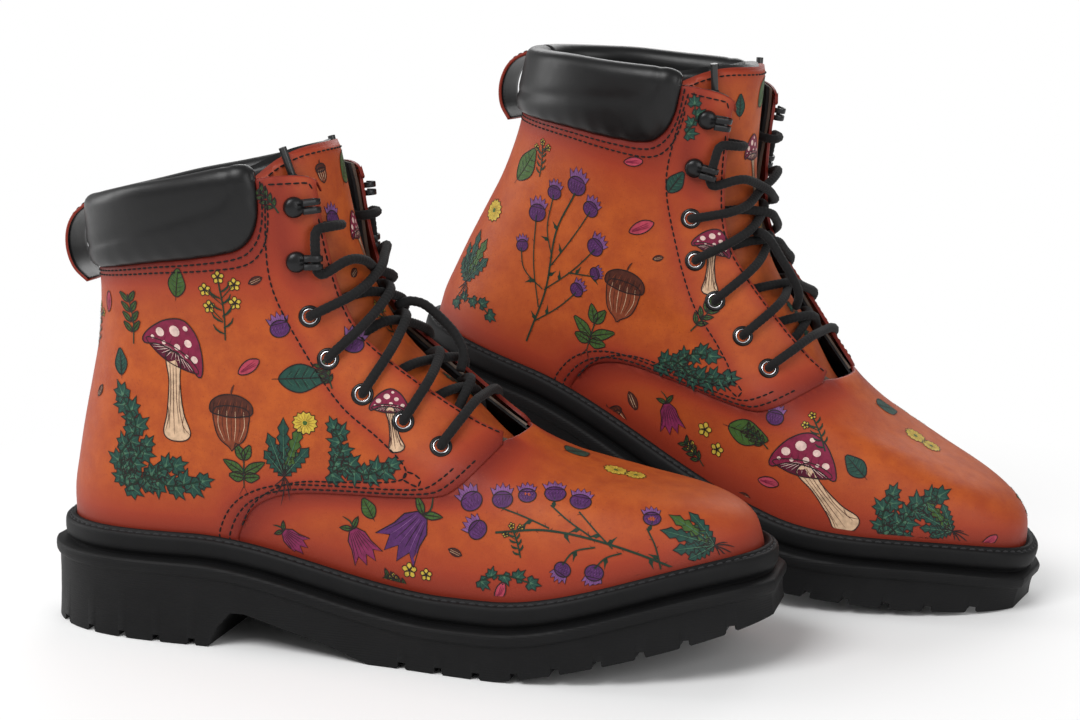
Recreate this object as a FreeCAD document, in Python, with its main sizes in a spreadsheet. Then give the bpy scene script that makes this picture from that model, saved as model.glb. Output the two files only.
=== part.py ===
import FreeCAD, Part
import math
import os

from FreeCAD import Placement, Rotation, Vector

# A pair of laced hiking boots.  Millimetres; +X from heel to toe, +Z up, the right boot stands
# on the floor with its heel at the origin and its outer (lateral) side towards -Y.

doc = FreeCAD.newDocument("hiking_boots")

DIMENSIONS = {
    "leather": 1.8,
    "stiffener": 1.0,
    "lining": 1.0,
    "collar_cover": 1.2,
    "collar_rise": 2.6,
    "lace_room": 4.6,
    "gusset_sheet": 0.6,
    "tongue_gap": 0.3,
    "tongue_leather": 1.5,
    "tongue_pad": 3.2,
    "footbed_gap": 1.3,
    "board": 2.4,
    "footbed": 4.6,
    "tray_depth": 7.0,
    "welt_height": 10.0,
    "midsole_ledge": 4.5,
    "outsole_ledge": 9.0,
    "reach": 90.0,
    "heel_breast": 83.0,
    "forefoot_start": 152.0,
    "spring_start": 205.0,
    "toe_spring": 22.0,
    "cleat_depth": 2.6,
    "cleat_width": 3.4,
    "cleat_pitch": 15.5,
    "shank_start": 70.0,
    "shank_end": 165.0,
    "shank_half": 9.0,
    "shank_sheet": 1.4,
    "eyelet_flange": 4.2,
    "eyelet_bore": 2.3,
    "eyelet_wall": 0.5,
    "eyelet_rise": 1.1,
    "washer_sheet": 0.5,
    "washer_gap": 0.35,
    "rivet_stem": 1.3,
    "rivet_foot": 2.8,
    "ply_gap": 0.15,
    "foam_gap": 0.5,
    "tray_gap": 0.2,
    "board_gap": 0.35,
    "hook_seat": 0.6,
    "hook_width": 5.0,
    "hook_sheet": 0.9,
    "hook_throat": 2.4,
    "rivet_head": 3.9,
    "rivet_rise": 1.9,
    "lace_thickness": 3.8,
    "loop_width": 17.0,
    "loop_sheet": 1.6,
    "heel_rest": 21.75,
    "pair_yaw": -11.0,
    "pair_pitch": 17.0,
    "pair_along": 99.0,
    "pair_aside": 160.0,
}

sheet = doc.addObject("Spreadsheet::Sheet", "Dimensions")
for row, (alias, value) in enumerate(DIMENSIONS.items(), start=1):
    sheet.set("A%d" % row, alias)
    sheet.set("B%d" % row, str(value))
    sheet.setAlias("B%d" % row, alias)
doc.recompute()


def dim(alias):
    return float(sheet.get(alias))


# ---------------------------------------------------------------- shape of the last
# Each section of the upper is a closed ring: how far up it is (0 at the welt, 1 at the collar),
# its heel point, its front point, and its half widths from heel to toe, outer and inner side.
SECTIONS = (
    (0.00, (10, 42), (297, 45), (62, 42, 42, 57, 62), (62, 41, 37, 54, 58)),
    (0.07, (10, 54), (293, 56), (61, 42, 43, 54, 59), (61, 41, 39, 52, 56)),
    (0.15, (12, 66), (282, 63), (59, 42, 42, 50, 55), (59, 41, 40, 49, 53)),
    (0.26, (15, 82), (262, 67), (55, 41, 41, 46, 49), (55, 40, 40, 46, 48)),
    (0.38, (19, 100), (234, 72), (50, 40, 40, 43, 44), (50, 39, 39, 43, 43)),
    (0.50, (22, 114), (207, 83), (46, 38, 39, 42, 43), (46, 38, 39, 42, 43)),
    (0.63, (23.5, 128), (186, 102), (42, 37, 38, 39, 38), (42, 37, 38, 39, 38)),
    (0.76, (24, 141), (160, 124), (40, 37, 38, 38, 36), (40, 37, 38, 38, 36)),
    (0.88, (23, 155), (144, 151), (39, 38, 39, 41, 41), (39, 38, 39, 41, 41)),
    (1.00, (22.5, 172), (134, 190), (39, 39, 40, 44, 46), (39, 39, 40, 44, 46)),
    (1.12, (22, 188), (130, 214), (39, 39, 40, 44, 46), (39, 39, 40, 44, 46)),
)
WAIST_SAG = 16.0
RING_POINTS = 24
BASE_HEIGHT = 8.0


def hermite(knots, values, at):
    """Smooth value through the knots."""
    last = len(knots) - 1
    i = 0
    while i < last - 1 and at > knots[i + 1]:
        i += 1

    def slope(j):
        a = max(j - 1, 0)
        b = min(j + 1, last)
        return (values[b] - values[a]) / (knots[b] - knots[a])

    h = knots[i + 1] - knots[i]
    u = (at - knots[i]) / h
    a = values[i] * (1 + 2 * u) * (1 - u) ** 2 + slope(i) * h * u * (1 - u) ** 2
    b = values[i + 1] * u * u * (3 - 2 * u) + slope(i + 1) * h * u * u * (u - 1)
    return a + b


def smooth_step(t):
    t = min(max(t, 0.0), 1.0)
    return t * t * (3 - 2 * t)


def sag(share):
    """How far the welt dips under the arch and ball, by share of the way to the toe."""
    return -WAIST_SAG * smooth_step((share - 0.22) / 0.38) * smooth_step((1 - share) / 0.34)


LEVELS = [s[0] for s in SECTIONS]


def section_at(level):
    flat = [[*s[1], *s[2], *s[3], *s[4]] for s in SECTIONS]
    return [hermite(LEVELS, [f[k] for f in flat], level) for k in range(14)]


SHARES = (0.0, 0.25, 0.5, 0.75, 1.0)


def surface(level, turn):
    """Point of the outer surface; turn runs from the heel along the outer side to the toe."""
    c = section_at(level)
    share = (1 - math.cos(turn)) / 2
    side = math.sin(turn)
    widths = c[4:9] if side >= 0 else c[9:14]
    fade = max(0.0, 1 - level / 0.38) ** 1.5
    return Vector(
        c[0] + (c[2] - c[0]) * share,
        -side * hermite(SHARES, widths, share),
        c[1] + (c[3] - c[1]) * share + sag(share) * fade,
    )


def outward(level, turn):
    step = 0.01
    low = max(level - step, 0.0)
    across = surface(level, turn + step) - surface(level, turn - step)
    up = surface(level + step, turn) - surface(low, turn)
    return across.cross(up).normalize()


def skin(level, turn, depth):
    """Point at a depth under the outer surface."""
    return surface(level, turn) - outward(level, turn) * depth


def locate(x, z, side):
    """Level and turn of the surface point seen at (x, z) from one side (1 outer, -1 inner)."""
    low = 0.0
    high = 1.12
    for _ in range(40):
        level = (low + high) / 2
        c = section_at(level)
        share = min(max((x - c[0]) / (c[2] - c[0]), 0.0), 1.0)
        turn = math.acos(1 - 2 * share)
        if surface(level, turn).z < z:
            low = level
        else:
            high = level
    return level, turn * side


def seat(x):
    """Height of the welt line along the boot."""
    share = min(max((x - 10.0) / 287.0, 0.0), 1.0)
    return 42.0 + 3.0 * share + sag(share)


# ---------------------------------------------------------------- builders
def feature(name, shape):
    obj = doc.addObject("Part::Feature", name)
    obj.Shape = shape
    return obj


def ring_wire(points):
    curve = Part.BSplineCurve()
    curve.interpolate(Points=points, PeriodicFlag=True)
    return Part.Wire(curve.toShape())


def flatten(points, heel, toe):
    """Push a ring's points onto the plane of its heel-to-toe chord."""
    along = (toe - heel).normalize()
    normal = along.cross(Vector(0, 1, 0))
    return [p - normal * (p - heel).dot(normal) for p in points]


def base_point(turn, depth):
    """Point straight below the welt line, on the level that closes the last."""
    edge = surface(0, turn)
    ahead = surface(0, turn + 0.01) - surface(0, turn - 0.01)
    out = Vector(ahead.y, -ahead.x, 0).normalize()
    return Vector(edge.x, edge.y, BASE_HEIGHT) - out * depth


def ring_points(section, turns, depth, flat):
    ring = [skin(section[0], turn, depth) for turn in turns]
    if flat:
        heel = Vector(section[1][0], 0, section[1][1])
        toe = Vector(section[2][0], 0, section[2][1])
        ring = flatten(ring, heel, toe)
    return ring


def loft_through(name, wires):
    rings = [feature("%s_ring%d" % (name, k), wire) for k, wire in enumerate(wires)]
    loft = doc.addObject("Part::Loft", name)
    loft.Sections = rings
    loft.Solid = True
    loft.Ruled = False
    return loft


def last_solid(name, depth):
    """The whole last, shrunk by a depth."""
    turns = [2 * math.pi * k / RING_POINTS for k in range(RING_POINTS)]
    wires = [ring_wire([base_point(turn, depth) for turn in turns])]
    for section in SECTIONS:
        wires.append(ring_wire(ring_points(section, turns, depth, section is SECTIONS[-1])))
    return loft_through(name, wires)


def open_curve(points):
    curve = Part.BSplineCurve()
    curve.interpolate(Points=points)
    return curve.toShape()


def band_wire(outside, inside):
    """Closed wire round the thickness of a sheet: out along one side, back along the other."""
    return Part.Wire([
        open_curve(outside),
        Part.makeLine(outside[-1], inside[-1]),
        open_curve(inside[::-1]),
        Part.makeLine(inside[0], outside[0]),
    ])


def skin_sheet(name, shallow, deep, turn_from, turn_to, start=0):
    """Curved sheet between two depths, over part of the way round the last."""
    count = max(8, int(RING_POINTS * (turn_to - turn_from) / (2 * math.pi)) + 2)
    turns = [turn_from + (turn_to - turn_from) * k / (count - 1) for k in range(count)]
    wires = []
    if start == 0:
        wires.append(band_wire(*[[base_point(t, d) for t in turns] for d in (shallow, deep)]))
    for section in SECTIONS[start:]:
        flat = section is SECTIONS[-1] or (start and section is SECTIONS[start])
        wires.append(band_wire(*[ring_points(section, turns, d, flat) for d in (shallow, deep)]))
    return loft_through(name, wires)


def outline_solid(name, points, y_low, y_high):
    """Prism of a side-view outline (x, z) from y_low to y_high (sheet expressions)."""
    corners = [Vector(x, 0, z) for x, z in points]
    face = feature(name + "_outline", Part.Face(Part.makePolygon(corners + corners[:1])))
    prism = doc.addObject("Part::Extrusion", name)
    prism.Base = face
    prism.DirMode = "Custom"
    prism.Dir = Vector(0, 1, 0)
    prism.Solid = True
    prism.setExpression("LengthFwd", y_high)
    prism.setExpression("LengthRev", y_low)
    return prism


def boolean(kind, name, base, tool):
    obj = doc.addObject("Part::" + kind, name)
    obj.Base = base
    obj.Tool = tool
    obj.Refine = False
    return obj


def curve_points(points, count):
    """Points along a smooth open curve through a few named ones."""
    spline = Part.BSplineCurve()
    spline.interpolate([Vector(x, 0, z) for x, z in points])
    return [(p.x, p.z) for p in spline.discretize(count)]


def seat_points(x_from, x_to, drop, count=16):
    xs = [x_from + (x_to - x_from) * k / (count - 1) for k in range(count)]
    return [(x, seat(x) - drop) for x in xs]


# ---------------------------------------------------------------- side-view outlines
TRAY = dim("tray_depth")
FAR_BACK = -20.0
FAR_FRONT = 330.0
QUARTER_EDGE = ((94, 43), (98, 52), (105, 58.5), (118, 63), (138, 64.5),
                (163, 65), (179, 66.5), (186, 70.5), (192, 76.5), (199, 85))
COLLAR_SEAM = ((21, 144), (43, 148), (60, 151), (81, 154), (97, 157.5), (103, 163),
               (105.5, 172), (105, 185))
COLLAR_TOP = ((105, 185), (87, 181.5), (71, 178.5), (52, 175.5), (38, 172.5), (21, 169))
EYESTAY_SEAM = ((108, 185), (108.5, 154), (112, 138), (122, 120), (138, 99), (154, 86.5), (166, 73))

quarter_edge = curve_points(QUARTER_EDGE, 26)
collar_seam = curve_points(COLLAR_SEAM, 24)
collar_top = curve_points(COLLAR_TOP, 10)
eyestay_seam = curve_points(EYESTAY_SEAM, 22)
facing_top = [(105, 185), (116, 186), (125, 185), (160, 180)]

upper_outline = (
    seat_points(FAR_BACK, 94, TRAY) + quarter_edge + [(203, 90), (230, 110), (230, 180)]
    + facing_top[::-1] + collar_seam[::-1][1:] + [(FAR_BACK, 144)]
)
vamp_outline = (
    seat_points(94, FAR_FRONT, TRAY)[::-1] + quarter_edge + [(203, 90), (FAR_FRONT, 120)]
)
collar_outline = [(FAR_BACK, 144)] + collar_seam + collar_top[1:] + [(FAR_BACK, 169)]
eyestay_outline = (
    eyestay_seam + [(180, 67), (186, 70.5), (192, 76.5), (199, 85), (230, 110), (230, 180)]
    + facing_top[::-1][:-1]
)
puff_outline = seat_points(236, FAR_FRONT, TRAY)[::-1] + [(236, 48), (241, 60), (252, 90), (FAR_FRONT, 90)]
counter_outline = (
    seat_points(FAR_BACK, 84, TRAY) + curve_points(((84, 40), (80, 62), (62, 84), (34, 97)), 12)
    + [(FAR_BACK, 98)]
)
lining_front_outline = seat_points(132, FAR_FRONT, TRAY)[::-1] + [(150, 66), (192, 76.5), (203, 90), (FAR_FRONT, 120)]
lining_back_outline = (
    seat_points(FAR_BACK, 132, TRAY) + [(150, 66), (192, 76.5), (203, 90), (230, 110), (230, 180)]
    + facing_top[::-1] + collar_top[1:] + [(FAR_BACK, 169)]
)

# ---------------------------------------------------------------- depths under the outer face
stiffener_depth = dim("leather") + dim("stiffener")
lining_depth = stiffener_depth + dim("lining")
gusset_depth = lining_depth + dim("lace_room")
tongue_depth = gusset_depth + dim("gusset_sheet") + dim("tongue_gap")
pad_depth = tongue_depth + dim("tongue_leather")
LEATHER = (0.0, dim("leather"))
ply_gap = dim("ply_gap")
STIFFENER = (dim("leather") + ply_gap, stiffener_depth)
LINING = (stiffener_depth + ply_gap, lining_depth)
COVER = (-dim("collar_rise"), dim("collar_cover") - dim("collar_rise"))
FOAM = (dim("collar_cover") - dim("collar_rise") + ply_gap, stiffener_depth - dim("foam_gap"))
GUSSET_SHEET = (gusset_depth, gusset_depth + dim("gusset_sheet"))
TONGUE_LEATHER = (tongue_depth, pad_depth)
TONGUE_PAD = (pad_depth + ply_gap, pad_depth + dim("tongue_pad"))

OUTER_HALF = (0.0, math.pi)
INNER_HALF = (math.pi, 2 * math.pi)
FRONT = (0.3 * math.pi, 1.7 * math.pi)
BACK = (-0.85 * math.pi, 0.85 * math.pi)
ROUND_BACK = (-0.95 * math.pi, 0.95 * math.pi)
INSTEP = (0.6 * math.pi, 1.4 * math.pi)

# ---------------------------------------------------------------- front opening
OPENING = ((79.5, 0), (81, 10), (86, 17), (95, 22), (112, 25), (150, 25.5), (182, 26), (240, 27))


def front_cutter(name, half_widths, x_from, x_to):
    """Prism along X with a half width for each height."""
    right = [Vector(x_from, -w, z) for z, w in half_widths]
    left = [Vector(x_from, w, z) for z, w in reversed(half_widths)]
    corners = [p for k, p in enumerate(right + left) if k == 0 or p.distanceToPoint((right + left)[k - 1]) > 0.01]
    face = feature(name + "_outline", Part.Face(Part.makePolygon(corners + corners[:1])))
    prism = doc.addObject("Part::Extrusion", name)
    prism.Base = face
    prism.DirMode = "Custom"
    prism.Dir = Vector(1, 0, 0)
    prism.Solid = True
    prism.LengthFwd = x_to - x_from
    return prism


opening = front_cutter("front_opening", OPENING, 104.0, 240.0)
OUTER_SIDE = ("Dimensions.reach", "0")
INNER_SIDE = ("0", "Dimensions.reach")
BOTH_SIDES = ("Dimensions.reach", "Dimensions.reach")


def panel(name, depths, span, outline, sides=BOTH_SIDES, open_front=True, start=0):
    """Panel cut from a curved sheet by its side-view outline, and by the front opening."""
    blank = skin_sheet(name + "_sheet", depths[0], depths[1], span[0], span[1], start)
    prism = outline_solid(name + "_prism", outline, sides[0], sides[1])
    piece = boolean("Common", name + "_blank", blank, prism)
    if open_front:
        piece = boolean("Cut", name + "_cut", piece, opening)
    return piece


pieces = {
    "vamp": panel("vamp", LEATHER, FRONT, vamp_outline),
    "quarter_lateral": panel("quarter_lateral", LEATHER, OUTER_HALF, upper_outline, OUTER_SIDE),
    "quarter_medial": panel("quarter_medial", LEATHER, INNER_HALF, upper_outline, INNER_SIDE),
    "eyestay_lateral": panel("eyestay_lateral", STIFFENER, OUTER_HALF, eyestay_outline, OUTER_SIDE),
    "eyestay_medial": panel("eyestay_medial", STIFFENER, INNER_HALF, eyestay_outline, INNER_SIDE),
    "toe_puff": panel("toe_puff", STIFFENER, FRONT, puff_outline, open_front=False),
    "heel_counter": panel("heel_counter", STIFFENER, BACK, counter_outline, open_front=False),
    "vamp_lining": panel("vamp_lining", LINING, FRONT, lining_front_outline),
    "quarter_lining": panel("quarter_lining", LINING, ROUND_BACK, lining_back_outline),
    "collar_cover": panel("collar_cover", COVER, BACK, collar_outline, open_front=False, start=3),
    "collar_foam": panel("collar_foam", FOAM, BACK, collar_outline, open_front=False, start=3),
}
doc.recompute()

# ---------------------------------------------------------------- tongue and gussets
TONGUE = ((76, 20), (84, 23), (100, 26), (125, 28), (150, 30), (180, 31), (190, 29), (197, 20))
tongue_cutter = front_cutter("tongue_outline_cut", TONGUE, 96.0, 240.0)
for name, depths in (("tongue", TONGUE_LEATHER), ("tongue_padding", TONGUE_PAD)):
    blank = skin_sheet(name + "_sheet", depths[0], depths[1], INSTEP[0], INSTEP[1], start=4)
    pieces[name] = boolean("Common", name + "_blank", blank, tongue_cutter)

GUSSET = ((88, 27), (100, 30), (125, 33), (150, 34.5), (166, 35))
GUSSET_INNER = ((88, 15), (100, 16), (125, 17), (150, 18), (166, 19))


def gusset(name, side):
    """Bellows strip between a facing and the tongue's edge."""
    outer_edge = [Vector(100, side * w, z) for z, w in GUSSET]
    inner_edge = [Vector(100, side * w, z) for z, w in reversed(GUSSET_INNER)]
    corners = outer_edge + inner_edge
    face = feature(name + "_outline", Part.Face(Part.makePolygon(corners + corners[:1])))
    prism = doc.addObject("Part::Extrusion", name + "_prism")
    prism.Base = face
    prism.DirMode = "Custom"
    prism.Dir = Vector(1, 0, 0)
    prism.Solid = True
    prism.LengthFwd = 110
    blank = skin_sheet(name + "_sheet", GUSSET_SHEET[0], GUSSET_SHEET[1], INSTEP[0], INSTEP[1], start=4)
    return boolean("Common", name + "_blank", blank, prism)


pieces["gusset_lateral"] = gusset("gusset_lateral", -1)
pieces["gusset_medial"] = gusset("gusset_medial", 1)
doc.recompute()

# ---------------------------------------------------------------- sole
tray_last = last_solid("last_tray", -dim("tray_gap"))
lined_last = last_solid("last_lined", lining_depth + dim("board_gap"))
footbed_last = last_solid("last_footbed", lining_depth + dim("footbed_gap"))


def plan_solid(name, ledge):
    """Upright prism of the welt line's plan, widened by a ledge."""
    turns = [2 * math.pi * k / 36 for k in range(36)]
    points = [base_point(turn, -ledge) for turn in turns]
    face = feature(name + "_outline", Part.Face(ring_wire([Vector(p.x, p.y, -10) for p in points])))
    prism = doc.addObject("Part::Extrusion", name)
    prism.Base = face
    prism.DirMode = "Custom"
    prism.Dir = Vector(0, 0, 1)
    prism.Solid = True
    prism.LengthFwd = 90
    return prism


def tread(x):
    """Height of the sole's underside, without heel block and cleats."""
    run = max(0.0, x - dim("spring_start")) / (306.0 - dim("spring_start"))
    return dim("toe_spring") * run ** 1.1


def cleat_places():
    pitch = dim("cleat_pitch")
    heel = [14 + pitch * k for k in range(5)]
    fore = [dim("forefoot_start") + 14 + pitch * k for k in range(9)]
    return heel, fore


def notch(x):
    half = dim("cleat_width") / 2
    z = tread(x)
    top = z + dim("cleat_depth")
    return [(x - half, tread(x - half)), (x - half + 0.3, top), (x + half - 0.3, top), (x + half, tread(x + half))]


def tread_outline():
    heel, fore = cleat_places()
    breast = dim("heel_breast")
    start = dim("forefoot_start")
    points = [(FAR_BACK, 0)]
    for x in heel:
        points += notch(x)
    points += [(breast, 0), (breast + 4, 8), (breast + 10, 14.5), (breast + 22, 13), (start - 18, 6), (start, 0)]
    for x in fore:
        points += notch(x)
    points += [(300, tread(300)), (FAR_FRONT, tread(FAR_FRONT))]
    return points


WELT = dim("welt_height")
sole_profile = tread_outline() + seat_points(FAR_BACK, FAR_FRONT, WELT, 30)[::-1]
midsole_profile = seat_points(FAR_BACK, FAR_FRONT, WELT, 30) + seat_points(FAR_BACK, FAR_FRONT, 0, 30)[::-1]
tray_profile = seat_points(FAR_BACK, FAR_FRONT, TRAY + dim("tray_gap"), 30) + [(FAR_FRONT, 150), (FAR_BACK, 150)]
board_top = TRAY - dim("board")
board_profile = seat_points(FAR_BACK, FAR_FRONT, TRAY, 30) + seat_points(FAR_BACK, FAR_FRONT, board_top, 30)[::-1]
bed_low = board_top - 0.4
bed_profile = (
    seat_points(FAR_BACK, FAR_FRONT, bed_low, 30)
    + seat_points(FAR_BACK, FAR_FRONT, bed_low - dim("footbed"), 30)[::-1]
)
shank_low = WELT - 0.8
shank_profile = (
    seat_points(dim("shank_start"), dim("shank_end"), shank_low)
    + seat_points(dim("shank_start"), dim("shank_end"), shank_low - dim("shank_sheet"))[::-1]
)

pieces["outsole"] = boolean(
    "Common", "outsole_blank",
    plan_solid("outsole_plan", dim("outsole_ledge")),
    outline_solid("outsole_side", sole_profile, *BOTH_SIDES),
)
pieces["shank"] = outline_solid("shank_strip", shank_profile, "Dimensions.shank_half", "Dimensions.shank_half")
shank_pocket = outline_solid("shank_pocket", shank_profile, "Dimensions.shank_half", "Dimensions.shank_half")
tray = boolean("Common", "tray_hollow", tray_last, outline_solid("tray_side", tray_profile, *BOTH_SIDES))
midsole_blank = boolean(
    "Common", "midsole_blank",
    plan_solid("midsole_plan", dim("midsole_ledge")),
    outline_solid("midsole_side", midsole_profile, *BOTH_SIDES),
)
midsole_tray = boolean("Cut", "midsole_tray", midsole_blank, tray)
pieces["midsole"] = boolean("Cut", "midsole_pocket", midsole_tray, shank_pocket)
pieces["insole_board"] = boolean(
    "Common", "board_blank", lined_last, outline_solid("board_side", board_profile, *BOTH_SIDES)
)
pieces["footbed"] = boolean(
    "Common", "footbed_blank", footbed_last, outline_solid("footbed_side", bed_profile, *BOTH_SIDES)
)

# ---------------------------------------------------------------- eyelets, hooks, rivets
EYELETS = ((177, 84), (162, 93), (146, 103), (132, 116), (124, 132))
HOOKS = ((119, 153), (118, 174))
SIDES = (1, -1)


def spot(x, z, side):
    """Placement on the surface: local Z out of the leather, local X towards the front opening."""
    level, turn = locate(x, z, side)
    out = outward(level, turn)
    ahead = (surface(level, turn + 0.01 * side) - surface(level, turn - 0.01 * side)).normalize()
    return Placement(surface(level, turn), Rotation(ahead, out.cross(ahead), out, "XZY"))


def primitive(name, kind, low, **sizes):
    obj = doc.addObject("Part::" + kind, name)
    for key, expression in sizes.items():
        obj.setExpression(key, expression)
    obj.Placement = Placement(Vector(0, 0, low), Rotation())
    return obj


def copies(name, master, places):
    """The same small piece at several places, as one object."""
    doc.recompute()
    shapes = []
    for place in places:
        shape = master.Shape.copy()
        shape.transformShape(place.toMatrix())
        shapes.append(shape)
    return feature(name, Part.makeCompound(shapes))


eyelet_spots = [spot(x, z, side) for side in SIDES for x, z in EYELETS]
hook_spots = [spot(x, z, side) for side in SIDES for x, z in HOOKS]

flange = primitive("eyelet_flange", "Cylinder", 0.1, Radius="Dimensions.eyelet_flange", Height="Dimensions.eyelet_rise")
barrel = primitive(
    "eyelet_barrel", "Cylinder", -lining_depth,
    Radius="Dimensions.eyelet_bore + Dimensions.eyelet_wall", Height=str(lining_depth + 0.6),
)
bore = primitive("eyelet_bore", "Cylinder", -lining_depth - 1, Radius="Dimensions.eyelet_bore", Height="12")
grommet = boolean("Cut", "grommet", boolean("Fuse", "grommet_blank", flange, barrel), bore)
disc = primitive("washer_disc", "Cylinder", -lining_depth - dim("washer_sheet") - dim("washer_gap"),
                 Radius="Dimensions.eyelet_flange", Height="Dimensions.washer_sheet")
washer = boolean("Cut", "washer", disc, barrel)
hole = primitive("eyelet_hole", "Cylinder", -lining_depth - 2,
                 Radius="Dimensions.eyelet_bore + Dimensions.eyelet_wall", Height="12")
rivet_hole = primitive("rivet_hole", "Cylinder", -lining_depth - 2, Radius="Dimensions.rivet_stem", Height="12")


def hook_profile():
    """Side of a lace hook: base strip, round throat, returning lip."""
    low = dim("hook_seat")
    skin_top = low + dim("hook_sheet")
    middle = skin_top + dim("hook_throat")
    lip = middle + dim("hook_throat")
    bend = 6.6
    outer_reach = bend + dim("hook_throat") + dim("hook_sheet")
    a = Vector(-dim("rivet_head"), 0, low)
    b = Vector(bend, 0, low)
    c = Vector(bend, 0, lip + dim("hook_sheet"))
    d = Vector(2.6, 0, lip + dim("hook_sheet"))
    e = Vector(2.6, 0, lip)
    f = Vector(bend, 0, lip)
    g = Vector(bend, 0, skin_top)
    h = Vector(-dim("rivet_head"), 0, skin_top)
    edges = [
        Part.makeLine(a, b),
        Part.Arc(b, Vector(outer_reach, 0, middle), c).toShape(),
        Part.makeLine(c, d),
        Part.makeLine(d, e),
        Part.makeLine(e, f),
        Part.Arc(f, Vector(bend + dim("hook_throat"), 0, middle), g).toShape(),
        Part.makeLine(g, h),
        Part.makeLine(h, a),
    ]
    return Part.Face(Part.Wire(edges))


hook_strip = doc.addObject("Part::Extrusion", "hook_strip")
hook_strip.Base = feature("hook_outline", hook_profile())
hook_strip.DirMode = "Custom"
hook_strip.Dir = Vector(0, 1, 0)
hook_strip.Solid = True
hook_strip.setExpression("LengthFwd", "Dimensions.hook_width / 2")
hook_strip.setExpression("LengthRev", "Dimensions.hook_width / 2")
hook = boolean("Cut", "hook", hook_strip, rivet_hole)

plate_top = dim("hook_seat") + dim("hook_sheet")
head_blank = primitive("rivet_head", "Cylinder", plate_top, Radius="Dimensions.rivet_head",
                       Height="Dimensions.rivet_rise")
head_top = plate_top + dim("rivet_rise")
head_round = doc.addObject("Part::Chamfer", "rivet_head_round")
doc.recompute()
head_round.Base = head_blank
rims = [k + 1 for k, e in enumerate(head_blank.Shape.Edges) if abs(e.CenterOfMass.z - head_top) < 0.01]
head_round.Edges = [(k, 0.9, 1.2) for k in rims]
stem = primitive("rivet_stem", "Cylinder", -lining_depth - 0.2, Radius="Dimensions.rivet_stem",
                 Height=str(lining_depth + 0.2 + plate_top))
foot = primitive("rivet_foot", "Cylinder", -lining_depth - 0.9, Radius="Dimensions.rivet_foot", Height="0.75")
rivet = boolean("Fuse", "rivet", boolean("Fuse", "rivet_top", head_round, stem), foot)

pieces["eyelets"] = copies("eyelet_set", grommet, eyelet_spots)
pieces["eyelet_washers"] = copies("washer_set", washer, eyelet_spots)
pieces["lace_hooks"] = copies("hook_set", hook, hook_spots)
pieces["hook_rivets"] = copies("rivet_set", rivet, hook_spots)
eyelet_holes = copies("eyelet_holes", hole, eyelet_spots)
rivet_holes = copies("rivet_holes", rivet_hole, hook_spots)
for name in ("quarter_lateral", "quarter_medial", "eyestay_lateral", "eyestay_medial", "quarter_lining"):
    punched = boolean("Cut", name + "_eyelets", pieces[name], eyelet_holes)
    pieces[name] = boolean("Cut", name + "_rivets", punched, rivet_holes)

# ---------------------------------------------------------------- pull loop behind the heel
LOOP_INSIDE = ((19.6, 169), (14.4, 164.5), (11.5, 158.5), (11.3, 151), (14.0, 144), (19.4, 139))
inside = curve_points(LOOP_INSIDE, 20)
loop_outline = inside + [(x - dim("loop_sheet"), z) for x, z in reversed(inside)]
pieces["pull_loop"] = outline_solid("pull_loop_strip", loop_outline, "Dimensions.loop_width / 2",
                                    "Dimensions.loop_width / 2")

# ---------------------------------------------------------------- lace
LACE_HALF = dim("lace_thickness") / 2
HIGH = 3.2
OVER_EDGE = 3.0
BELOW_EDGE = -1.6
BAR_SAG = -0.6
INSIDE = -6.0
UNDER_EDGE = -6.3
NEAR_TONGUE = -6.4
CROSS_OVER = -2.2


def press(point, guess, along):
    """(level, turn) where a line through the point meets the outer face, by Newton's method."""
    level, turn = guess
    first = along.cross(Vector(0, 1, 0)).normalize()
    second = along.cross(first)
    for _ in range(14):
        gap = surface(level, turn) - point
        by_level = (surface(level + 0.005, turn) - surface(level - 0.005, turn)) * 100
        by_turn = (surface(level, turn + 0.01) - surface(level, turn - 0.01)) * 50
        a, b = by_level.dot(first), by_turn.dot(first)
        c, d = by_level.dot(second), by_turn.dot(second)
        p, q = gap.dot(first), gap.dot(second)
        level -= (p * d - q * b) / (a * d - b * c)
        turn -= (q * a - p * c) / (a * d - b * c)
    return level, turn


def strand_point(start, end, share, height):
    """Point of a lace pulled straight between two (level, turn) places, at a height over the leather."""
    chord = surface(*start) + (surface(*end) - surface(*start)) * share
    along = (outward(*start) + outward(*end)).normalize()
    guess = [a + (b - a) * share for a, b in zip(start, end)]
    level, turn = press(chord, guess, along)
    return skin(level, turn, -height)


def strand(start, end, steps):
    return [strand_point(start, end, share, height) for share, height in steps]


def crossing(start, end, upper):
    """From the outside of one eyelet over its edge, then under the other edge and out again."""
    middle = CROSS_OVER if upper else NEAR_TONGUE
    return strand(start, end, ((0.0, HIGH), (0.14, OVER_EDGE), (0.27, BELOW_EDGE), (0.5, middle), (0.7, INSIDE),
                               (0.86, UNDER_EDGE), (1.0, UNDER_EDGE)))


def wrapped(place, side):
    """Level and turn with the inner side counted on past the toe."""
    level, turn = locate(place[0], place[1], side)
    return level, turn if side > 0 else turn + 2 * math.pi


def to_edge_and_back(side):
    """From the hook over the edge of the facing and up behind it."""
    start = wrapped(TUCK, side)
    end = wrapped(TUCK, -side)
    route = strand(start, end, ((0.054, 3.8), (0.145, 3.2), (0.225, BELOW_EDGE), (0.172, UNDER_EDGE - 0.4),
                                (0.071, UNDER_EDGE - 0.2)))
    rise = (start[0] + 0.07, start[1])
    route.append(strand_point(rise, (rise[0], end[1]), 0.046, UNDER_EDGE - 0.2))
    return route


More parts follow.
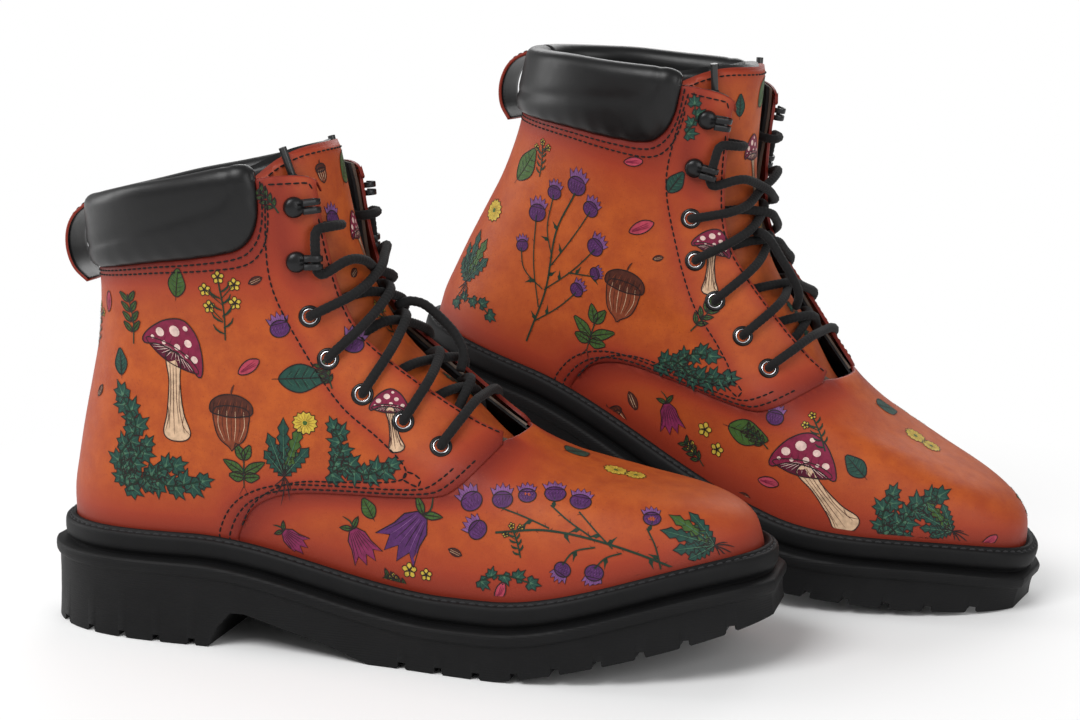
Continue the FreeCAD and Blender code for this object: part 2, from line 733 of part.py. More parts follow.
def half_lace(side, upper_first):
    """One half of the lace, from the lowest bar to its tucked end."""
    places = {s: [wrapped(p, s) for p in EYELETS] for s in SIDES}
    here = places[side][0]
    bar = ((0.2, BAR_SAG), (0.36, OVER_EDGE), (0.5, HIGH))
    route = strand(places[1][0], places[-1][0], [(0.5 - part * side, height) for part, height in bar])
    middle = CROSS_OVER if upper_first else NEAR_TONGUE
    route += strand(here, places[-side][1], ((0.0, UNDER_EDGE), (0.14, UNDER_EDGE), (0.3, INSIDE), (0.5, middle),
                                             (0.7, INSIDE), (0.86, UNDER_EDGE), (1.0, UNDER_EDGE)))
    now = -side
    upper = upper_first
    for k in range(1, 4):
        upper = not upper
        route += crossing(places[now][k], places[-now][k + 1], upper)
        now = -now
    hook_side = -now
    middle = NEAR_TONGUE if upper else CROSS_OVER
    route += strand(places[now][4], wrapped(HOOKS[0], hook_side), (
        (0.0, HIGH), (0.14, OVER_EDGE), (0.27, BELOW_EDGE), (0.5, middle), (0.68, BELOW_EDGE), (0.82, OVER_EDGE)))
    hook_frame = spot(HOOKS[0][0], HOOKS[0][1], hook_side)
    for x, y in ((7.4, -6.5), (6.8, 6.5)):
        route.append(hook_frame.multVec(Vector(x, y * hook_side, HOOK_CENTRE)))
    return route + to_edge_and_back(hook_side)


def rounded_path(points, share=0.45):
    """Straight runs joined by tangent arcs, with the arcs' radii."""
    edges = []
    radii = []
    here = points[0]
    for before, corner, after in zip(points, points[1:], points[2:]):
        a = corner - before
        b = after - corner
        turn = a.getAngle(b)
        trim = share * min(a.Length, b.Length)
        a.normalize()
        b.normalize()
        radius = trim / math.tan(turn / 2)
        entry = corner - a * trim
        leave = corner + b * trim
        middle = corner + (b - a).normalize() * radius * (1 / math.cos(turn / 2) - 1)
        edges.append(Part.makeLine(here, entry))
        edges.append(Part.Arc(entry, middle, leave).toShape())
        radii.append(radius)
        here = leave
    edges.append(Part.makeLine(here, points[-1]))
    return Part.Wire(edges), radii


def tube(name, points, radius):
    """Round cord along a route; its volume is compared with section times length."""
    wire, radii = rounded_path(points)
    circle = Part.Wire(Part.makeCircle(radius, points[0], points[1] - points[0]))
    solid = wire.makePipeShell([circle], True, False)
    expected = math.pi * radius ** 2 * wire.Length
    print(name, "length", round(wire.Length), "smallest radius", round(min(radii), 1),
          "volume ratio", round(solid.Volume / expected, 3))
    return feature(name + "_tube", solid)


HOOK_CENTRE = plate_top + dim("hook_throat") + 0.05
TUCK = (119, 165)
outer_half = half_lace(1, True)
inner_half = half_lace(-1, False)
pieces["lace"] = tube("lace", outer_half[::-1] + inner_half, LACE_HALF)


def tip(route):
    """Aglet beyond the end of a lace half."""
    ahead = (route[-1] - route[-2]).normalize()
    return Part.makeCylinder(LACE_HALF * 0.8, 11, route[-1], ahead)


pieces["lace_tips"] = feature("lace_tip_pair", Part.makeCompound([tip(outer_half), tip(inner_half)]))


def tail_route():
    """Spare lace: out from under the top crossing, down in a small bow, in under the next one."""
    steps = ((0.806, 0.30, -6.5), (0.803, 0.335, -1.2), (0.785, 0.355, 3.6), (0.75, 0.36, 5.6), (0.712, 0.33, 5.2),
             (0.685, 0.27, 1.8), (0.675, 0.22, -5.0))
    return [skin(level, math.pi + turn, -height) for level, turn, height in steps]


pieces["lace_tail"] = tube("lace_tail", tail_route(), LACE_HALF)
doc.recompute()

# ---------------------------------------------------------------- the pair
TIPPED = Rotation(Vector(0, 0, 1), dim("pair_yaw")) * Rotation(Vector(0, 1, 0), dim("pair_pitch"))
twin_sole = pieces["outsole"].Shape.mirror(Vector(0, 0, 0), Vector(0, 1, 0))
twin_sole.Placement = Placement(Vector(0, 0, 0), TIPPED)
toe_drop = -twin_sole.optimalBoundingBox(False).ZMin
# The frame's origin is on the floor under the middle of the right heel's first land.
HOME = Placement(Vector(-dim("heel_rest"), 0, 0), Rotation())
PAIR_PLACE = HOME * Placement(Vector(dim("pair_along"), dim("pair_aside"), toe_drop), TIPPED) * HOME.inverse()
print("left boot raised", round(toe_drop, 2))
nodes = {}
for name, piece in pieces.items():
    piece.Label = "right_" + name
    piece.Placement = HOME * piece.Placement
    nodes["right_" + name] = piece
    twin = doc.addObject("Part::Mirroring", "left_" + name)
    twin.Source = piece
    twin.Base = Vector(0, 0, 0)
    twin.Normal = Vector(0, 1, 0)
    twin.Placement = PAIR_PLACE
    twin.Label = "left_" + name
    nodes["left_" + name] = twin
doc.recompute()

for obj in doc.Objects:
    if "Invalid" in obj.State or "Error" in obj.State:
        raise RuntimeError("%s failed: %s" % (obj.Name, obj.State))
os.makedirs("parts", exist_ok=True)
for name, node in nodes.items():
    shape = node.Shape
    if shape.isNull() or not shape.isValid() or shape.Volume < 1:
        raise RuntimeError(name + " has no valid solid")
    if name.startswith("right_"):
        print(name, len(shape.Solids), round(shape.Volume))
    shape.exportStep("parts/%s.step" % name)
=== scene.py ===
import math

import bpy
import numpy as np
from mathutils import Matrix, Vector
from mathutils.geometry import delaunay_2d_cdt


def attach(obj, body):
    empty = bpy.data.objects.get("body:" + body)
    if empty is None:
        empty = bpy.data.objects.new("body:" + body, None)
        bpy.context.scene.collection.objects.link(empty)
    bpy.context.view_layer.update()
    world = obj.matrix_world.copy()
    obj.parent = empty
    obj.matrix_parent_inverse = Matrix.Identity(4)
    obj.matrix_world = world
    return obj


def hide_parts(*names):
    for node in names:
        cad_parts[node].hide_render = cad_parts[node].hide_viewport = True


# A pair of laced hiking boots.  Shapes are worked out in millimetres in the right boot's own
# frame (x heel to toe, -y outer side, z up) and placed in metres; the left boot is its mirror.

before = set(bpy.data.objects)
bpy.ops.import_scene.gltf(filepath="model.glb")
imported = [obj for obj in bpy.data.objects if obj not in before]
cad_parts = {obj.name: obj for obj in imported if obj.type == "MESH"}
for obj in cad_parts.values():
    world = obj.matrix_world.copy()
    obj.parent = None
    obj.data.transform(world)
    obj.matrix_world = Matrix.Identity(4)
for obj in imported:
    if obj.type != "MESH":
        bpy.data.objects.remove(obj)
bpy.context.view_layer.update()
MM = 0.001
PI = math.pi

# ------------------------------------------------------------------ camera, lights, floor
LOOK_AT = Vector((0.18525, 0.0, 0.113))
CAMERA_TURN = math.radians(15.0)
CAMERA_RISE = math.radians(10.5)
CAMERA_DISTANCE = 0.9


def make_camera():
    away = Vector((math.sin(CAMERA_TURN) * math.cos(CAMERA_RISE),
                   -math.cos(CAMERA_TURN) * math.cos(CAMERA_RISE), math.sin(CAMERA_RISE)))
    data = bpy.data.cameras.new("camera")
    data.lens = 76.7
    data.sensor_width = 36.0
    camera = bpy.data.objects.new("camera", data)
    camera.location = LOOK_AT + away * CAMERA_DISTANCE
    camera.rotation_euler = away.to_track_quat("Z", "Y").to_euler()
    bpy.context.scene.collection.objects.link(camera)
    bpy.context.scene.camera = camera


def area_light(name, place, target, size, power):
    data = bpy.data.lights.new(name, "AREA")
    data.shape = "RECTANGLE"
    data.size = size[0]
    data.size_y = size[1]
    data.energy = power
    light = bpy.data.objects.new(name, data)
    light.location = place
    light.rotation_euler = (Vector(place) - Vector(target)).to_track_quat("Z", "Y").to_euler()
    bpy.context.scene.collection.objects.link(light)


make_camera()
area_light("key", (-0.25, -0.9, 1.25), (0.2, 0.05, 0.08), (0.9, 0.7), 17.5)
area_light("fill", (1.3, -0.7, 0.6), (0.25, 0.05, 0.08), (0.8, 0.8), 6.0)
area_light("back", (0.1, 1.3, 0.9), (0.2, 0.1, 0.1), (1.4, 0.6), 9.0)
area_light("rim", (-1.1, 0.1, 0.55), (0.1, 0.05, 0.1), (0.5, 0.9), 6.0)

world = bpy.data.worlds.new("studio")
world.use_nodes = True
WORLD_LIGHT = 0.34
backdrop = world.node_tree.nodes["Background"]
backdrop.inputs["Color"].default_value = (1.0, 1.0, 1.0, 1.0)
ray = world.node_tree.nodes.new("ShaderNodeLightPath")
strength = world.node_tree.nodes.new("ShaderNodeMapRange")
strength.inputs["To Min"].default_value = WORLD_LIGHT
strength.inputs["To Max"].default_value = 1.0
world.node_tree.links.new(ray.outputs["Is Camera Ray"], strength.inputs["Value"])
world.node_tree.links.new(strength.outputs["Result"], backdrop.inputs["Strength"])
bpy.context.scene.world = world
bpy.context.scene.view_settings.view_transform = "Standard"


# ------------------------------------------------------------------ materials
class Shader:
    """A small helper round a Principled material's nodes."""

    def __init__(self, name, color, roughness, metallic=0.0, shine=0.5):
        self.material = bpy.data.materials.new(name)
        self.material.use_nodes = True
        self.material.diffuse_color = (*color, 1.0)
        self.nodes = self.material.node_tree.nodes
        self.links = self.material.node_tree.links
        self.main = self.nodes["Principled BSDF"]
        self.main.inputs["Base Color"].default_value = (*color, 1.0)
        self.main.inputs["Roughness"].default_value = roughness
        self.main.inputs["Metallic"].default_value = metallic
        self.main.inputs["Specular IOR Level"].default_value = shine
        self.place = self.nodes.new("ShaderNodeTexCoord").outputs["Object"]

    def noise(self, scale, detail=4.0, roughness=0.55):
        node = self.nodes.new("ShaderNodeTexNoise")
        node.inputs["Scale"].default_value = scale
        node.inputs["Detail"].default_value = detail
        node.inputs["Roughness"].default_value = roughness
        self.links.new(self.place, node.inputs["Vector"])
        return node.outputs["Fac"]

    def voronoi(self, scale):
        node = self.nodes.new("ShaderNodeTexVoronoi")
        node.feature = "DISTANCE_TO_EDGE"
        node.inputs["Scale"].default_value = scale
        self.links.new(self.place, node.inputs["Vector"])
        return node.outputs["Distance"]

    def wave(self, scale, direction="Z", distortion=0.0):
        node = self.nodes.new("ShaderNodeTexWave")
        node.bands_direction = direction
        node.inputs["Scale"].default_value = scale
        node.inputs["Distortion"].default_value = distortion
        self.links.new(self.place, node.inputs["Vector"])
        return node.outputs["Fac"]

    def attribute(self, name):
        node = self.nodes.new("ShaderNodeAttribute")
        node.attribute_name = name
        return node.outputs["Fac"]

    def ramp(self, factor, low, high):
        node = self.nodes.new("ShaderNodeMapRange")
        node.inputs["From Min"].default_value = low
        node.inputs["From Max"].default_value = high
        self.links.new(factor, node.inputs["Value"])
        return node.outputs["Result"]

    def mix(self, factor, low, high):
        """Colour between low and high; each is a colour or another node's output."""
        node = self.nodes.new("ShaderNodeMix")
        node.data_type = "RGBA"
        for socket, value in ((node.inputs[6], low), (node.inputs[7], high)):
            if isinstance(value, tuple):
                socket.default_value = (*value, 1.0)
            else:
                self.links.new(value, socket)
        self.links.new(factor, node.inputs[0])
        return node.outputs[2]

    def color(self, output):
        self.links.new(output, self.main.inputs["Base Color"])

    def rough(self, factor, low, high):
        node = self.nodes.new("ShaderNodeMapRange")
        node.inputs["To Min"].default_value = low
        node.inputs["To Max"].default_value = high
        self.links.new(factor, node.inputs["Value"])
        self.links.new(node.outputs["Result"], self.main.inputs["Roughness"])

    def bump(self, height, strength, depth):
        node = self.nodes.new("ShaderNodeBump")
        node.inputs["Strength"].default_value = strength
        node.inputs["Distance"].default_value = depth
        self.links.new(height, node.inputs["Height"])
        normal = self.main.inputs["Normal"]
        if normal.is_linked:
            self.links.new(normal.links[0].from_socket, node.inputs["Normal"])
        self.links.new(node.outputs["Normal"], normal)


# Orange leather colour and two deeper reds for the painted shade near its seams and edges.
LEATHER_ORANGE = (0.42, 0.082, 0.012)
LEATHER_HALF_SHADE = (0.30, 0.036, 0.012)
LEATHER_SHADE = (0.14, 0.010, 0.007)


def leather_grain(shader, strength=1.0):
    shader.bump(shader.voronoi(1500.0), 0.16 * strength, 0.00022)
    shader.bump(shader.noise(900.0, 5.0, 0.6), 0.22 * strength, 0.0003)
    shader.rough(shader.noise(260.0), 0.42, 0.62)


def orange_leather(name):
    """Orange leather with painted shade: it turns a deep red towards its seams and edges (attribute shade, 0
    to 1).
    """
    shader = Shader(name, LEATHER_ORANGE, 0.5, shine=0.26)
    mottled = shader.mix(shader.ramp(shader.noise(110.0, 5.0, 0.65), 0.38, 0.66), LEATHER_ORANGE,
                         (0.33, 0.054, 0.010))
    # Painted shade: where the shade attribute is high the orange turns deep red, then darker still.
    deep = shader.mix(shader.ramp(shader.attribute("shade"), 0.0, 0.55), mottled, LEATHER_HALF_SHADE)
    shaded = shader.mix(shader.ramp(shader.attribute("shade"), 0.5, 1.0), deep, LEATHER_SHADE)
    speck = shader.ramp(shader.noise(1300.0, 2.0), 0.62, 0.8)
    shader.color(shader.mix(speck, shaded, (0.24, 0.036, 0.012)))
    leather_grain(shader)
    return shader.material


def ink(name, color):
    """Printed ink: the leather's grain shows through, and the colour is a little uneven."""
    shader = Shader("ink_" + name, color, 0.52, shine=0.22)
    darker = tuple(c * 0.62 for c in color)
    shader.color(shader.mix(shader.ramp(shader.noise(420.0, 3.0), 0.4, 0.75), color, darker))
    leather_grain(shader, 0.8)
    return shader.material


def black_leather():
    shader = Shader("black_leather", (0.004, 0.004, 0.0045), 0.4, shine=0.34)
    shader.color(shader.mix(shader.noise(45.0), (0.003, 0.003, 0.0033), (0.006, 0.006, 0.0064)))
    shader.bump(shader.voronoi(1100.0), 0.14, 0.0002)
    shader.bump(shader.noise(120.0, 4.0), 0.16, 0.0006)
    shader.rough(shader.noise(200.0), 0.30, 0.46)
    return shader.material


def rubber(name, ribs):
    shader = Shader(name, (0.004, 0.004, 0.0044), 0.6, shine=0.18)
    shader.color(shader.mix(shader.noise(90.0), (0.003, 0.003, 0.0033), (0.007, 0.007, 0.0074)))
    shader.bump(shader.noise(1400.0, 3.0), 0.2, 0.0002)
    if ribs:
        shader.bump(shader.wave(330.0, "Z", 0.4), 0.22, 0.00022)
    shader.rough(shader.noise(60.0), 0.5, 0.68)
    return shader.material


def cord_cloth(name, color):
    shader = Shader(name, color, 0.85, shine=0.15)
    light = tuple(min(c * 2.0 + 0.004, 1.0) for c in color)
    shader.color(shader.mix(shader.noise(1500.0, 2.0), color, light))
    shader.bump(shader.noise(2600.0, 3.0), 0.5, 0.0003)
    shader.main.inputs["Sheen Weight"].default_value = 0.06
    shader.main.inputs["Sheen Roughness"].default_value = 0.5
    return shader.material


def weave_cloth(name, color, scale=900.0):
    shader = Shader(name, color, 0.85)
    light = tuple(min(c * 1.7 + 0.006, 1.0) for c in color)
    cross = shader.nodes.new("ShaderNodeMath")
    cross.operation = "MULTIPLY"
    shader.links.new(shader.wave(scale, "X"), cross.inputs[0])
    shader.links.new(shader.wave(scale, "Z"), cross.inputs[1])
    shader.color(shader.mix(cross.outputs[0], color, light))
    shader.bump(cross.outputs[0], 0.5, 0.0003)
    return shader.material


def metal(name, color, roughness, metallic=1.0):
    shader = Shader(name, color, roughness, metallic)
    shader.rough(shader.noise(300.0), roughness * 0.8, roughness * 1.3)
    shader.bump(shader.noise(900.0), 0.05, 0.0001)
    return shader.material


def plain(name, color, roughness):
    shader = Shader(name, color, roughness)
    darker = tuple(c * 0.8 for c in color)
    shader.color(shader.mix(shader.noise(200.0), color, darker))
    shader.bump(shader.noise(700.0), 0.2, 0.0002)
    return shader.material


LEATHER = orange_leather("printed_leather")
THREAD = cord_cloth("seam_thread", (0.006, 0.005, 0.005))
WELT_THREAD = cord_cloth("welt_thread", (0.016, 0.016, 0.017))
BLACK_LEATHER = black_leather()
SOLE_RUBBER = rubber("sole_rubber", True)
WELT_RUBBER = rubber("welt_rubber", False)
LACE_CLOTH = cord_cloth("lace_cord", (0.006, 0.0058, 0.006))
LINING = weave_cloth("lining_cloth", (0.010, 0.010, 0.011))
FOOTBED = weave_cloth("footbed_cloth", (0.02, 0.02, 0.022), 1400.0)
BLACK_METAL = metal("black_nickel", (0.016, 0.016, 0.017), 0.3, 0.6)
BRIGHT_METAL = metal("bright_barrel", (0.72, 0.72, 0.74), 0.22)
STEEL = metal("shank_steel", (0.5, 0.5, 0.52), 0.35)
BOARD = plain("board", (0.32, 0.22, 0.14), 0.8)
SHELL = plain("counter_shell", (0.2, 0.18, 0.16), 0.6)
REINFORCEMENT = weave_cloth("reinforcement", (0.12, 0.09, 0.07))
TIP = plain("lace_tip", (0.02, 0.02, 0.02), 0.3)


def studio_floor():
    """White sweep: it takes a soft shadow near the boots and fades to pure white further out."""
    shader = Shader("studio_floor", (0.9, 0.9, 0.9), 0.7)
    shader.color(shader.mix(shader.noise(3.0), (0.90, 0.90, 0.90), (0.88, 0.88, 0.88)))
    reach = shader.nodes.new("ShaderNodeVectorMath")
    reach.operation = "LENGTH"
    shader.links.new(shader.place, reach.inputs[0])
    white = shader.nodes.new("ShaderNodeEmission")
    blend = shader.nodes.new("ShaderNodeMixShader")
    shader.links.new(shader.ramp(reach.outputs["Value"], 0.16, 0.42), blend.inputs["Fac"])
    shader.links.new(shader.main.outputs["BSDF"], blend.inputs[1])
    shader.links.new(white.outputs["Emission"], blend.inputs[2])
    shader.links.new(blend.outputs["Shader"], shader.nodes["Material Output"].inputs["Surface"])
    mesh = bpy.data.meshes.new("floor")
    far = 6.0
    mesh.from_pydata([(-far, -far, 0), (far, -far, 0), (far, far, 0), (-far, far, 0)], [], [(0, 1, 2, 3)])
    floor = bpy.data.objects.new("floor", mesh)
    floor.location = (0.17, 0.05, -0.0002)
    mesh.materials.append(shader.material)
    bpy.context.scene.collection.objects.link(floor)


studio_floor()

# ------------------------------------------------------------------ shape of the last
SECTIONS = (
    (0.00, (10, 42), (297, 45), (62, 42, 42, 57, 62), (62, 41, 37, 54, 58)),
    (0.07, (10, 54), (293, 56), (61, 42, 43, 54, 59), (61, 41, 39, 52, 56)),
    (0.15, (12, 66), (282, 63), (59, 42, 42, 50, 55), (59, 41, 40, 49, 53)),
    (0.26, (15, 82), (262, 67), (55, 41, 41, 46, 49), (55, 40, 40, 46, 48)),
    (0.38, (19, 100), (234, 72), (50, 40, 40, 43, 44), (50, 39, 39, 43, 43)),
    (0.50, (22, 114), (207, 83), (46, 38, 39, 42, 43), (46, 38, 39, 42, 43)),
    (0.63, (23.5, 128), (186, 102), (42, 37, 38, 39, 38), (42, 37, 38, 39, 38)),
    (0.76, (24, 141), (160, 124), (40, 37, 38, 38, 36), (40, 37, 38, 38, 36)),
    (0.88, (23, 155), (144, 151), (39, 38, 39, 41, 41), (39, 38, 39, 41, 41)),
    (1.00, (22.5, 172), (134, 190), (39, 39, 40, 44, 46), (39, 39, 40, 44, 46)),
    (1.12, (22, 188), (130, 214), (39, 39, 40, 44, 46), (39, 39, 40, 44, 46)),
)
LEVELS = np.array([s[0] for s in SECTIONS])
TABLE = np.array([[*s[1], *s[2], *s[3], *s[4]] for s in SECTIONS], float)
WAIST_SAG = 16.0
WELT_START = 10.0
WELT_LENGTH = 287.0


def hermite(knots, values, at):
    """Smooth values through the knots; values has a row for each knot."""
    i = np.clip(np.searchsorted(knots, at, side="right") - 1, 0, len(knots) - 2)
    before = np.maximum(i - 1, 0)
    after = np.minimum(i + 2, len(knots) - 1)
    pick = (lambda k: values[k]) if values.ndim == 1 or values.shape[0] == len(knots) else None
    h = knots[i + 1] - knots[i]
    u = (at - knots[i]) / h
    wide = (slice(None),) + (None,) * (values.ndim - 1)
    slope_low = (pick(i + 1) - pick(before)) / (knots[i + 1] - knots[before])[wide]
    slope_high = (pick(after) - pick(i)) / (knots[after] - knots[i])[wide]
    h = h[wide]
    u = u[wide]
    low = pick(i) * (1 + 2 * u) * (1 - u) ** 2 + slope_low * h * u * (1 - u) ** 2
    return low + pick(i + 1) * u * u * (3 - 2 * u) + slope_high * h * u * u * (u - 1)


def step(t):
    t = np.clip(t, 0.0, 1.0)
    return t * t * (3 - 2 * t)


def sag(share):
    return -WAIST_SAG * step((share - 0.22) / 0.38) * step((1 - share) / 0.34)


def width_at(columns, share):
    """Half width for each point's own five values and its share of the way to the toe."""
    i = np.clip((share * 4).astype(int), 0, 3)
    u = share * 4 - i
    rows = np.arange(len(share))
    low = columns[rows, i]
    high = columns[rows, i + 1]
    slope_low = (high - columns[rows, np.maximum(i - 1, 0)]) / np.where(i > 0, 2, 1)
    slope_high = (columns[rows, np.minimum(i + 2, 4)] - low) / np.where(i < 3, 2, 1)
    value = low * (1 + 2 * u) * (1 - u) ** 2 + slope_low * u * (1 - u) ** 2
    return value + high * u * u * (3 - 2 * u) + slope_high * u * u * (u - 1)


def surface(level, turn):
    """Points of the upper's outer face; turn runs from the heel along the outer side to the toe."""
    level, turn = np.broadcast_arrays(np.asarray(level, float), np.asarray(turn, float))
    level = level.ravel()
    turn = turn.ravel()
    inside = np.clip(level, 0.0, LEVELS[-1])
    c = hermite(LEVELS, TABLE, inside)
    share = (1 - np.cos(turn)) / 2
    side = np.sin(turn)
    width = np.where(side >= 0, width_at(c[:, 4:9], share), width_at(c[:, 9:14], share))
    fade = np.maximum(0.0, 1 - inside / 0.38) ** 1.5
    below = np.minimum(level, 0.0) * 150.0
    return np.stack([
        c[:, 0] + (c[:, 2] - c[:, 0]) * share,
        -side * width,
        c[:, 1] + (c[:, 3] - c[:, 1]) * share + sag(share) * fade + below,
    ], axis=1)


def outward(level, turn):
    level, turn = np.broadcast_arrays(np.asarray(level, float), np.asarray(turn, float))
    level = np.clip(level.ravel(), 0.0, 1.1)
    turn = turn.ravel()
    gap = 0.01
    across = surface(level, turn + gap) - surface(level, turn - gap)
    up = surface(level + gap, turn) - surface(np.maximum(level - gap, 0.0), turn)
    n = np.cross(across, up)
    return n / np.linalg.norm(n, axis=1)[:, None]


def skin(level, turn, height=0.0):
    """Points at a height over the upper's face."""
    return surface(level, turn) + outward(level, turn) * np.reshape(height, (-1, 1))


def locate(points, side=1):
    """(turn, level) of side-view points (x, z); side 1 is the outer side, -1 the inner side."""
    points = np.asarray(points, float)
    low = np.zeros(len(points))
    high = np.full(len(points), LEVELS[-1])
    for _ in range(36):
        level = (low + high) / 2
        c = hermite(LEVELS, TABLE, level)
        share = np.clip((points[:, 0] - c[:, 0]) / (c[:, 2] - c[:, 0]), 0.0, 1.0)
        turn = np.arccos(1 - 2 * share)
        short = surface(level, turn)[:, 2] < points[:, 1]
        low = np.where(short, level, low)
        high = np.where(short, high, level)
    return np.stack([turn if side > 0 else 2 * PI - turn, level], axis=1)


def seat(x):
    """Height of the welt line along the boot."""
    share = np.clip((np.asarray(x, float) - WELT_START) / WELT_LENGTH, 0.0, 1.0)
    return 42.0 + 3.0 * share + sag(share)


def smooth_line(points, count, closed=False):
    """Evenly spaced points along a smooth curve through a few given ones."""
    points = np.asarray(points, float)
    if closed:
        points = np.vstack([points, points[:1]])
    gaps = np.linalg.norm(np.diff(points, axis=0), axis=1)
    knots = np.concatenate([[0.0], np.cumsum(np.sqrt(gaps))])
    fine = np.linspace(0, knots[-1], max(count * 4, 40))
    if closed:
        wide = np.vstack([points[-2:-1], points, points[1:2]])
        long = np.concatenate([[-math.sqrt(gaps[-1])], knots, [knots[-1] + math.sqrt(gaps[0])]])
        dense = hermite(long, wide, fine)
    else:
        dense = hermite(knots, points, fine)
    return resample(dense, count)


def resample(points, count):
    gaps = np.linalg.norm(np.diff(points, axis=0), axis=1)
    run = np.concatenate([[0.0], np.cumsum(gaps)])
    at = np.linspace(0, run[-1], count)
    return np.stack([np.interp(at, run, points[:, k]) for k in range(points.shape[1])], axis=1)


# ------------------------------------------------------------------ the two boots
PAIR_YAW = math.radians(-11.0)
PAIR_PITCH = math.radians(17.0)
PAIR_ALONG = 0.099
PAIR_ASIDE = 0.160
PAIR_RAISE = 0.06841
HOME = Matrix.Translation((-0.02175, 0.0, 0.0))


class Boot:
    def __init__(self, side):
        self.side = side
        self.body = side + "_boot"
        scale = Matrix.Scale(MM, 4)
        if side == "right":
            self.matrix = HOME @ scale
        else:
            turn = Matrix.Rotation(PAIR_YAW, 4, "Z") @ Matrix.Rotation(PAIR_PITCH, 4, "Y")
            place = Matrix.Translation((PAIR_ALONG, PAIR_ASIDE, PAIR_RAISE))
            self.matrix = HOME @ place @ turn @ Matrix.Scale(-1, 4, (0, 1, 0)) @ scale
        self.mirrored = side == "left"

    def points(self, coords):
        m = np.array(self.matrix)
        return np.asarray(coords, float) @ m[:3, :3].T + m[:3, 3]

    def directions(self, coords):
        m = np.array(self.matrix)[:3, :3] / MM
        return np.asarray(coords, float) @ m.T

    def mesh(self, name, coords, faces, materials, indices=None, normals=None, shade=None,
             body=None, slot=None, smooth=True):
        """Makes a piece of this boot from millimetre points in the right boot's frame."""
        mesh = bpy.data.meshes.new(self.side + "_" + name)
        if self.mirrored:
            faces = [tuple(reversed(f)) for f in faces]
        mesh.from_pydata(self.points(coords).tolist(), [], [tuple(f) for f in faces])
        for material in materials:
            mesh.materials.append(material)
        if indices is not None:
            mesh.polygons.foreach_set("material_index", np.asarray(indices, np.int32))
        if shade is not None:
            layer = mesh.attributes.new("shade", "FLOAT", "POINT")
            layer.data.foreach_set("value", np.asarray(shade, np.float32))
        mesh.polygons.foreach_set("use_smooth", [smooth] * len(mesh.polygons))
        mesh.validate()
        if normals is not None:
            mesh.normals_split_custom_set_from_vertices(self.directions(normals).tolist())
        mesh.update()
        piece = bpy.data.objects.new(self.side + "_" + name, mesh)
        bpy.context.scene.collection.objects.link(piece)
        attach(piece, self.side + "_" + body if body else self.body)
        return piece

    def node(self, name):
        return self.side + "_" + name


def grid_faces(rows, columns, closed_columns=False):
    """Quads of a grid of points laid out row by row."""
    faces = []
    for i in range(rows - 1):
        for j in range(columns if closed_columns else columns - 1):
            a = i * columns + j
            b = i * columns + (j + 1) % columns
            faces.append((a, b, b + columns, a + columns))
    return faces


# ------------------------------------------------------------------ side-view lines (x, z)
QUARTER_EDGE = ((94, 36), (94, 43), (98, 52), (105, 58.5), (118, 63), (138, 64.5),
                (163, 65), (179, 66.5), (186, 70.5), (192, 76.5), (199, 85))
COLLAR_SEAM = ((21, 144), (43, 148), (60, 151), (81, 154), (97, 157.5), (103, 163), (105.5, 172), (105, 185))
COLLAR_TOP = ((105, 185), (87, 181.5), (71, 178.5), (52, 175.5), (38, 172.5), (21, 169))
EYESTAY_SEAM = ((108.5, 183), (108.5, 154), (112, 138), (122, 120), (138, 99), (154, 86.5), (165, 76),
                (163, 71.5), (142, 69.5), (121, 68), (108, 63), (100, 56), (96, 48))
EYELETS = ((177, 84), (162, 93), (146, 103), (132, 116), (124, 132))
HOOKS = ((119, 153), (118, 174))
OPENING = ((81, 0), (82, 8), (86, 15), (95, 21), (112, 25), (150, 25.5), (178, 26), (190, 26))
SIDES = (1, -1)

# Panels are laid out flat as (turn, level), stretched to about millimetres.
FLAT = np.array((58.0, 150.0))


def flat(points):
    return np.asarray(points, float) * FLAT


def unflat(points):
    return np.asarray(points, float) / FLAT


def lift(points, height=0.0):
    """Flat points to 3D at a height over the face."""
    back = unflat(points)
    return skin(back[:, 1], back[:, 0], height)


def lift_normals(points):
    back = unflat(points)
    return outward(back[:, 1], back[:, 0])


def side_line(points, count):
    """Smooth side-view line on the outer side, as flat points."""
    return flat(locate(smooth_line(points, count)))


def level_at(z, turns, shape, rounds):
    """Level in front at which a shape (level, turn) reaches each height z."""
    low = np.full(len(turns), 0.3)
    high = np.full(len(turns), 1.11)
    for _ in range(rounds):
        middle = (low + high) / 2
        short = shape(middle, turns)[:, 2] < z
        low = np.where(short, middle, low)
        high = np.where(short, high, middle)
    return middle


def opening_line(count):
    """Edge of the front opening from the throat upward, as flat points."""
    turns = np.linspace(PI * 0.55, PI, 240)
    found = []
    for z, half in smooth_line(OPENING, 60):
        levels = level_at(z, turns, surface, 22)
        reach = -surface(levels, turns)[:, 1] - max(half, 0.0)
        k = int(np.argmin(np.abs(reach)))
        found.append((turns[k], levels[k]))
    return resample(flat(found), count)


def mirror_flat(line):
    out = np.array(line, float)
    out[:, 0] = 2 * PI * FLAT[0] - out[:, 0]
    return out


def inside_polygon(points, polygon):
    x = points[:, 0]
    y = points[:, 1]
    inside = np.zeros(len(points), bool)
    for (x1, y1), (x2, y2) in zip(polygon, np.roll(polygon, -1, axis=0)):
        crosses = (y1 > y) != (y2 > y)
        with np.errstate(divide="ignore", invalid="ignore"):
            at = (x2 - x1) * (y - y1) / (y2 - y1) + x1
        inside ^= crosses & (x < at)
    return inside


def edge_distance(points, polygon, closed=True):
    """Distance of each point to a line or outline."""
    starts = polygon if closed else polygon[:-1]
    ends = np.roll(polygon, -1, axis=0) if closed else polygon[1:]
    best = np.full(len(points), 1e9)
    for a, b in zip(starts, ends):
        along = b - a
        size = max(float(along @ along), 1e-12)
        share = np.clip(((points - a) @ along) / size, 0, 1)
        gap = points - a - share[:, None] * along
        best = np.minimum(best, np.einsum("ij,ij->i", gap, gap))
    return np.sqrt(best)


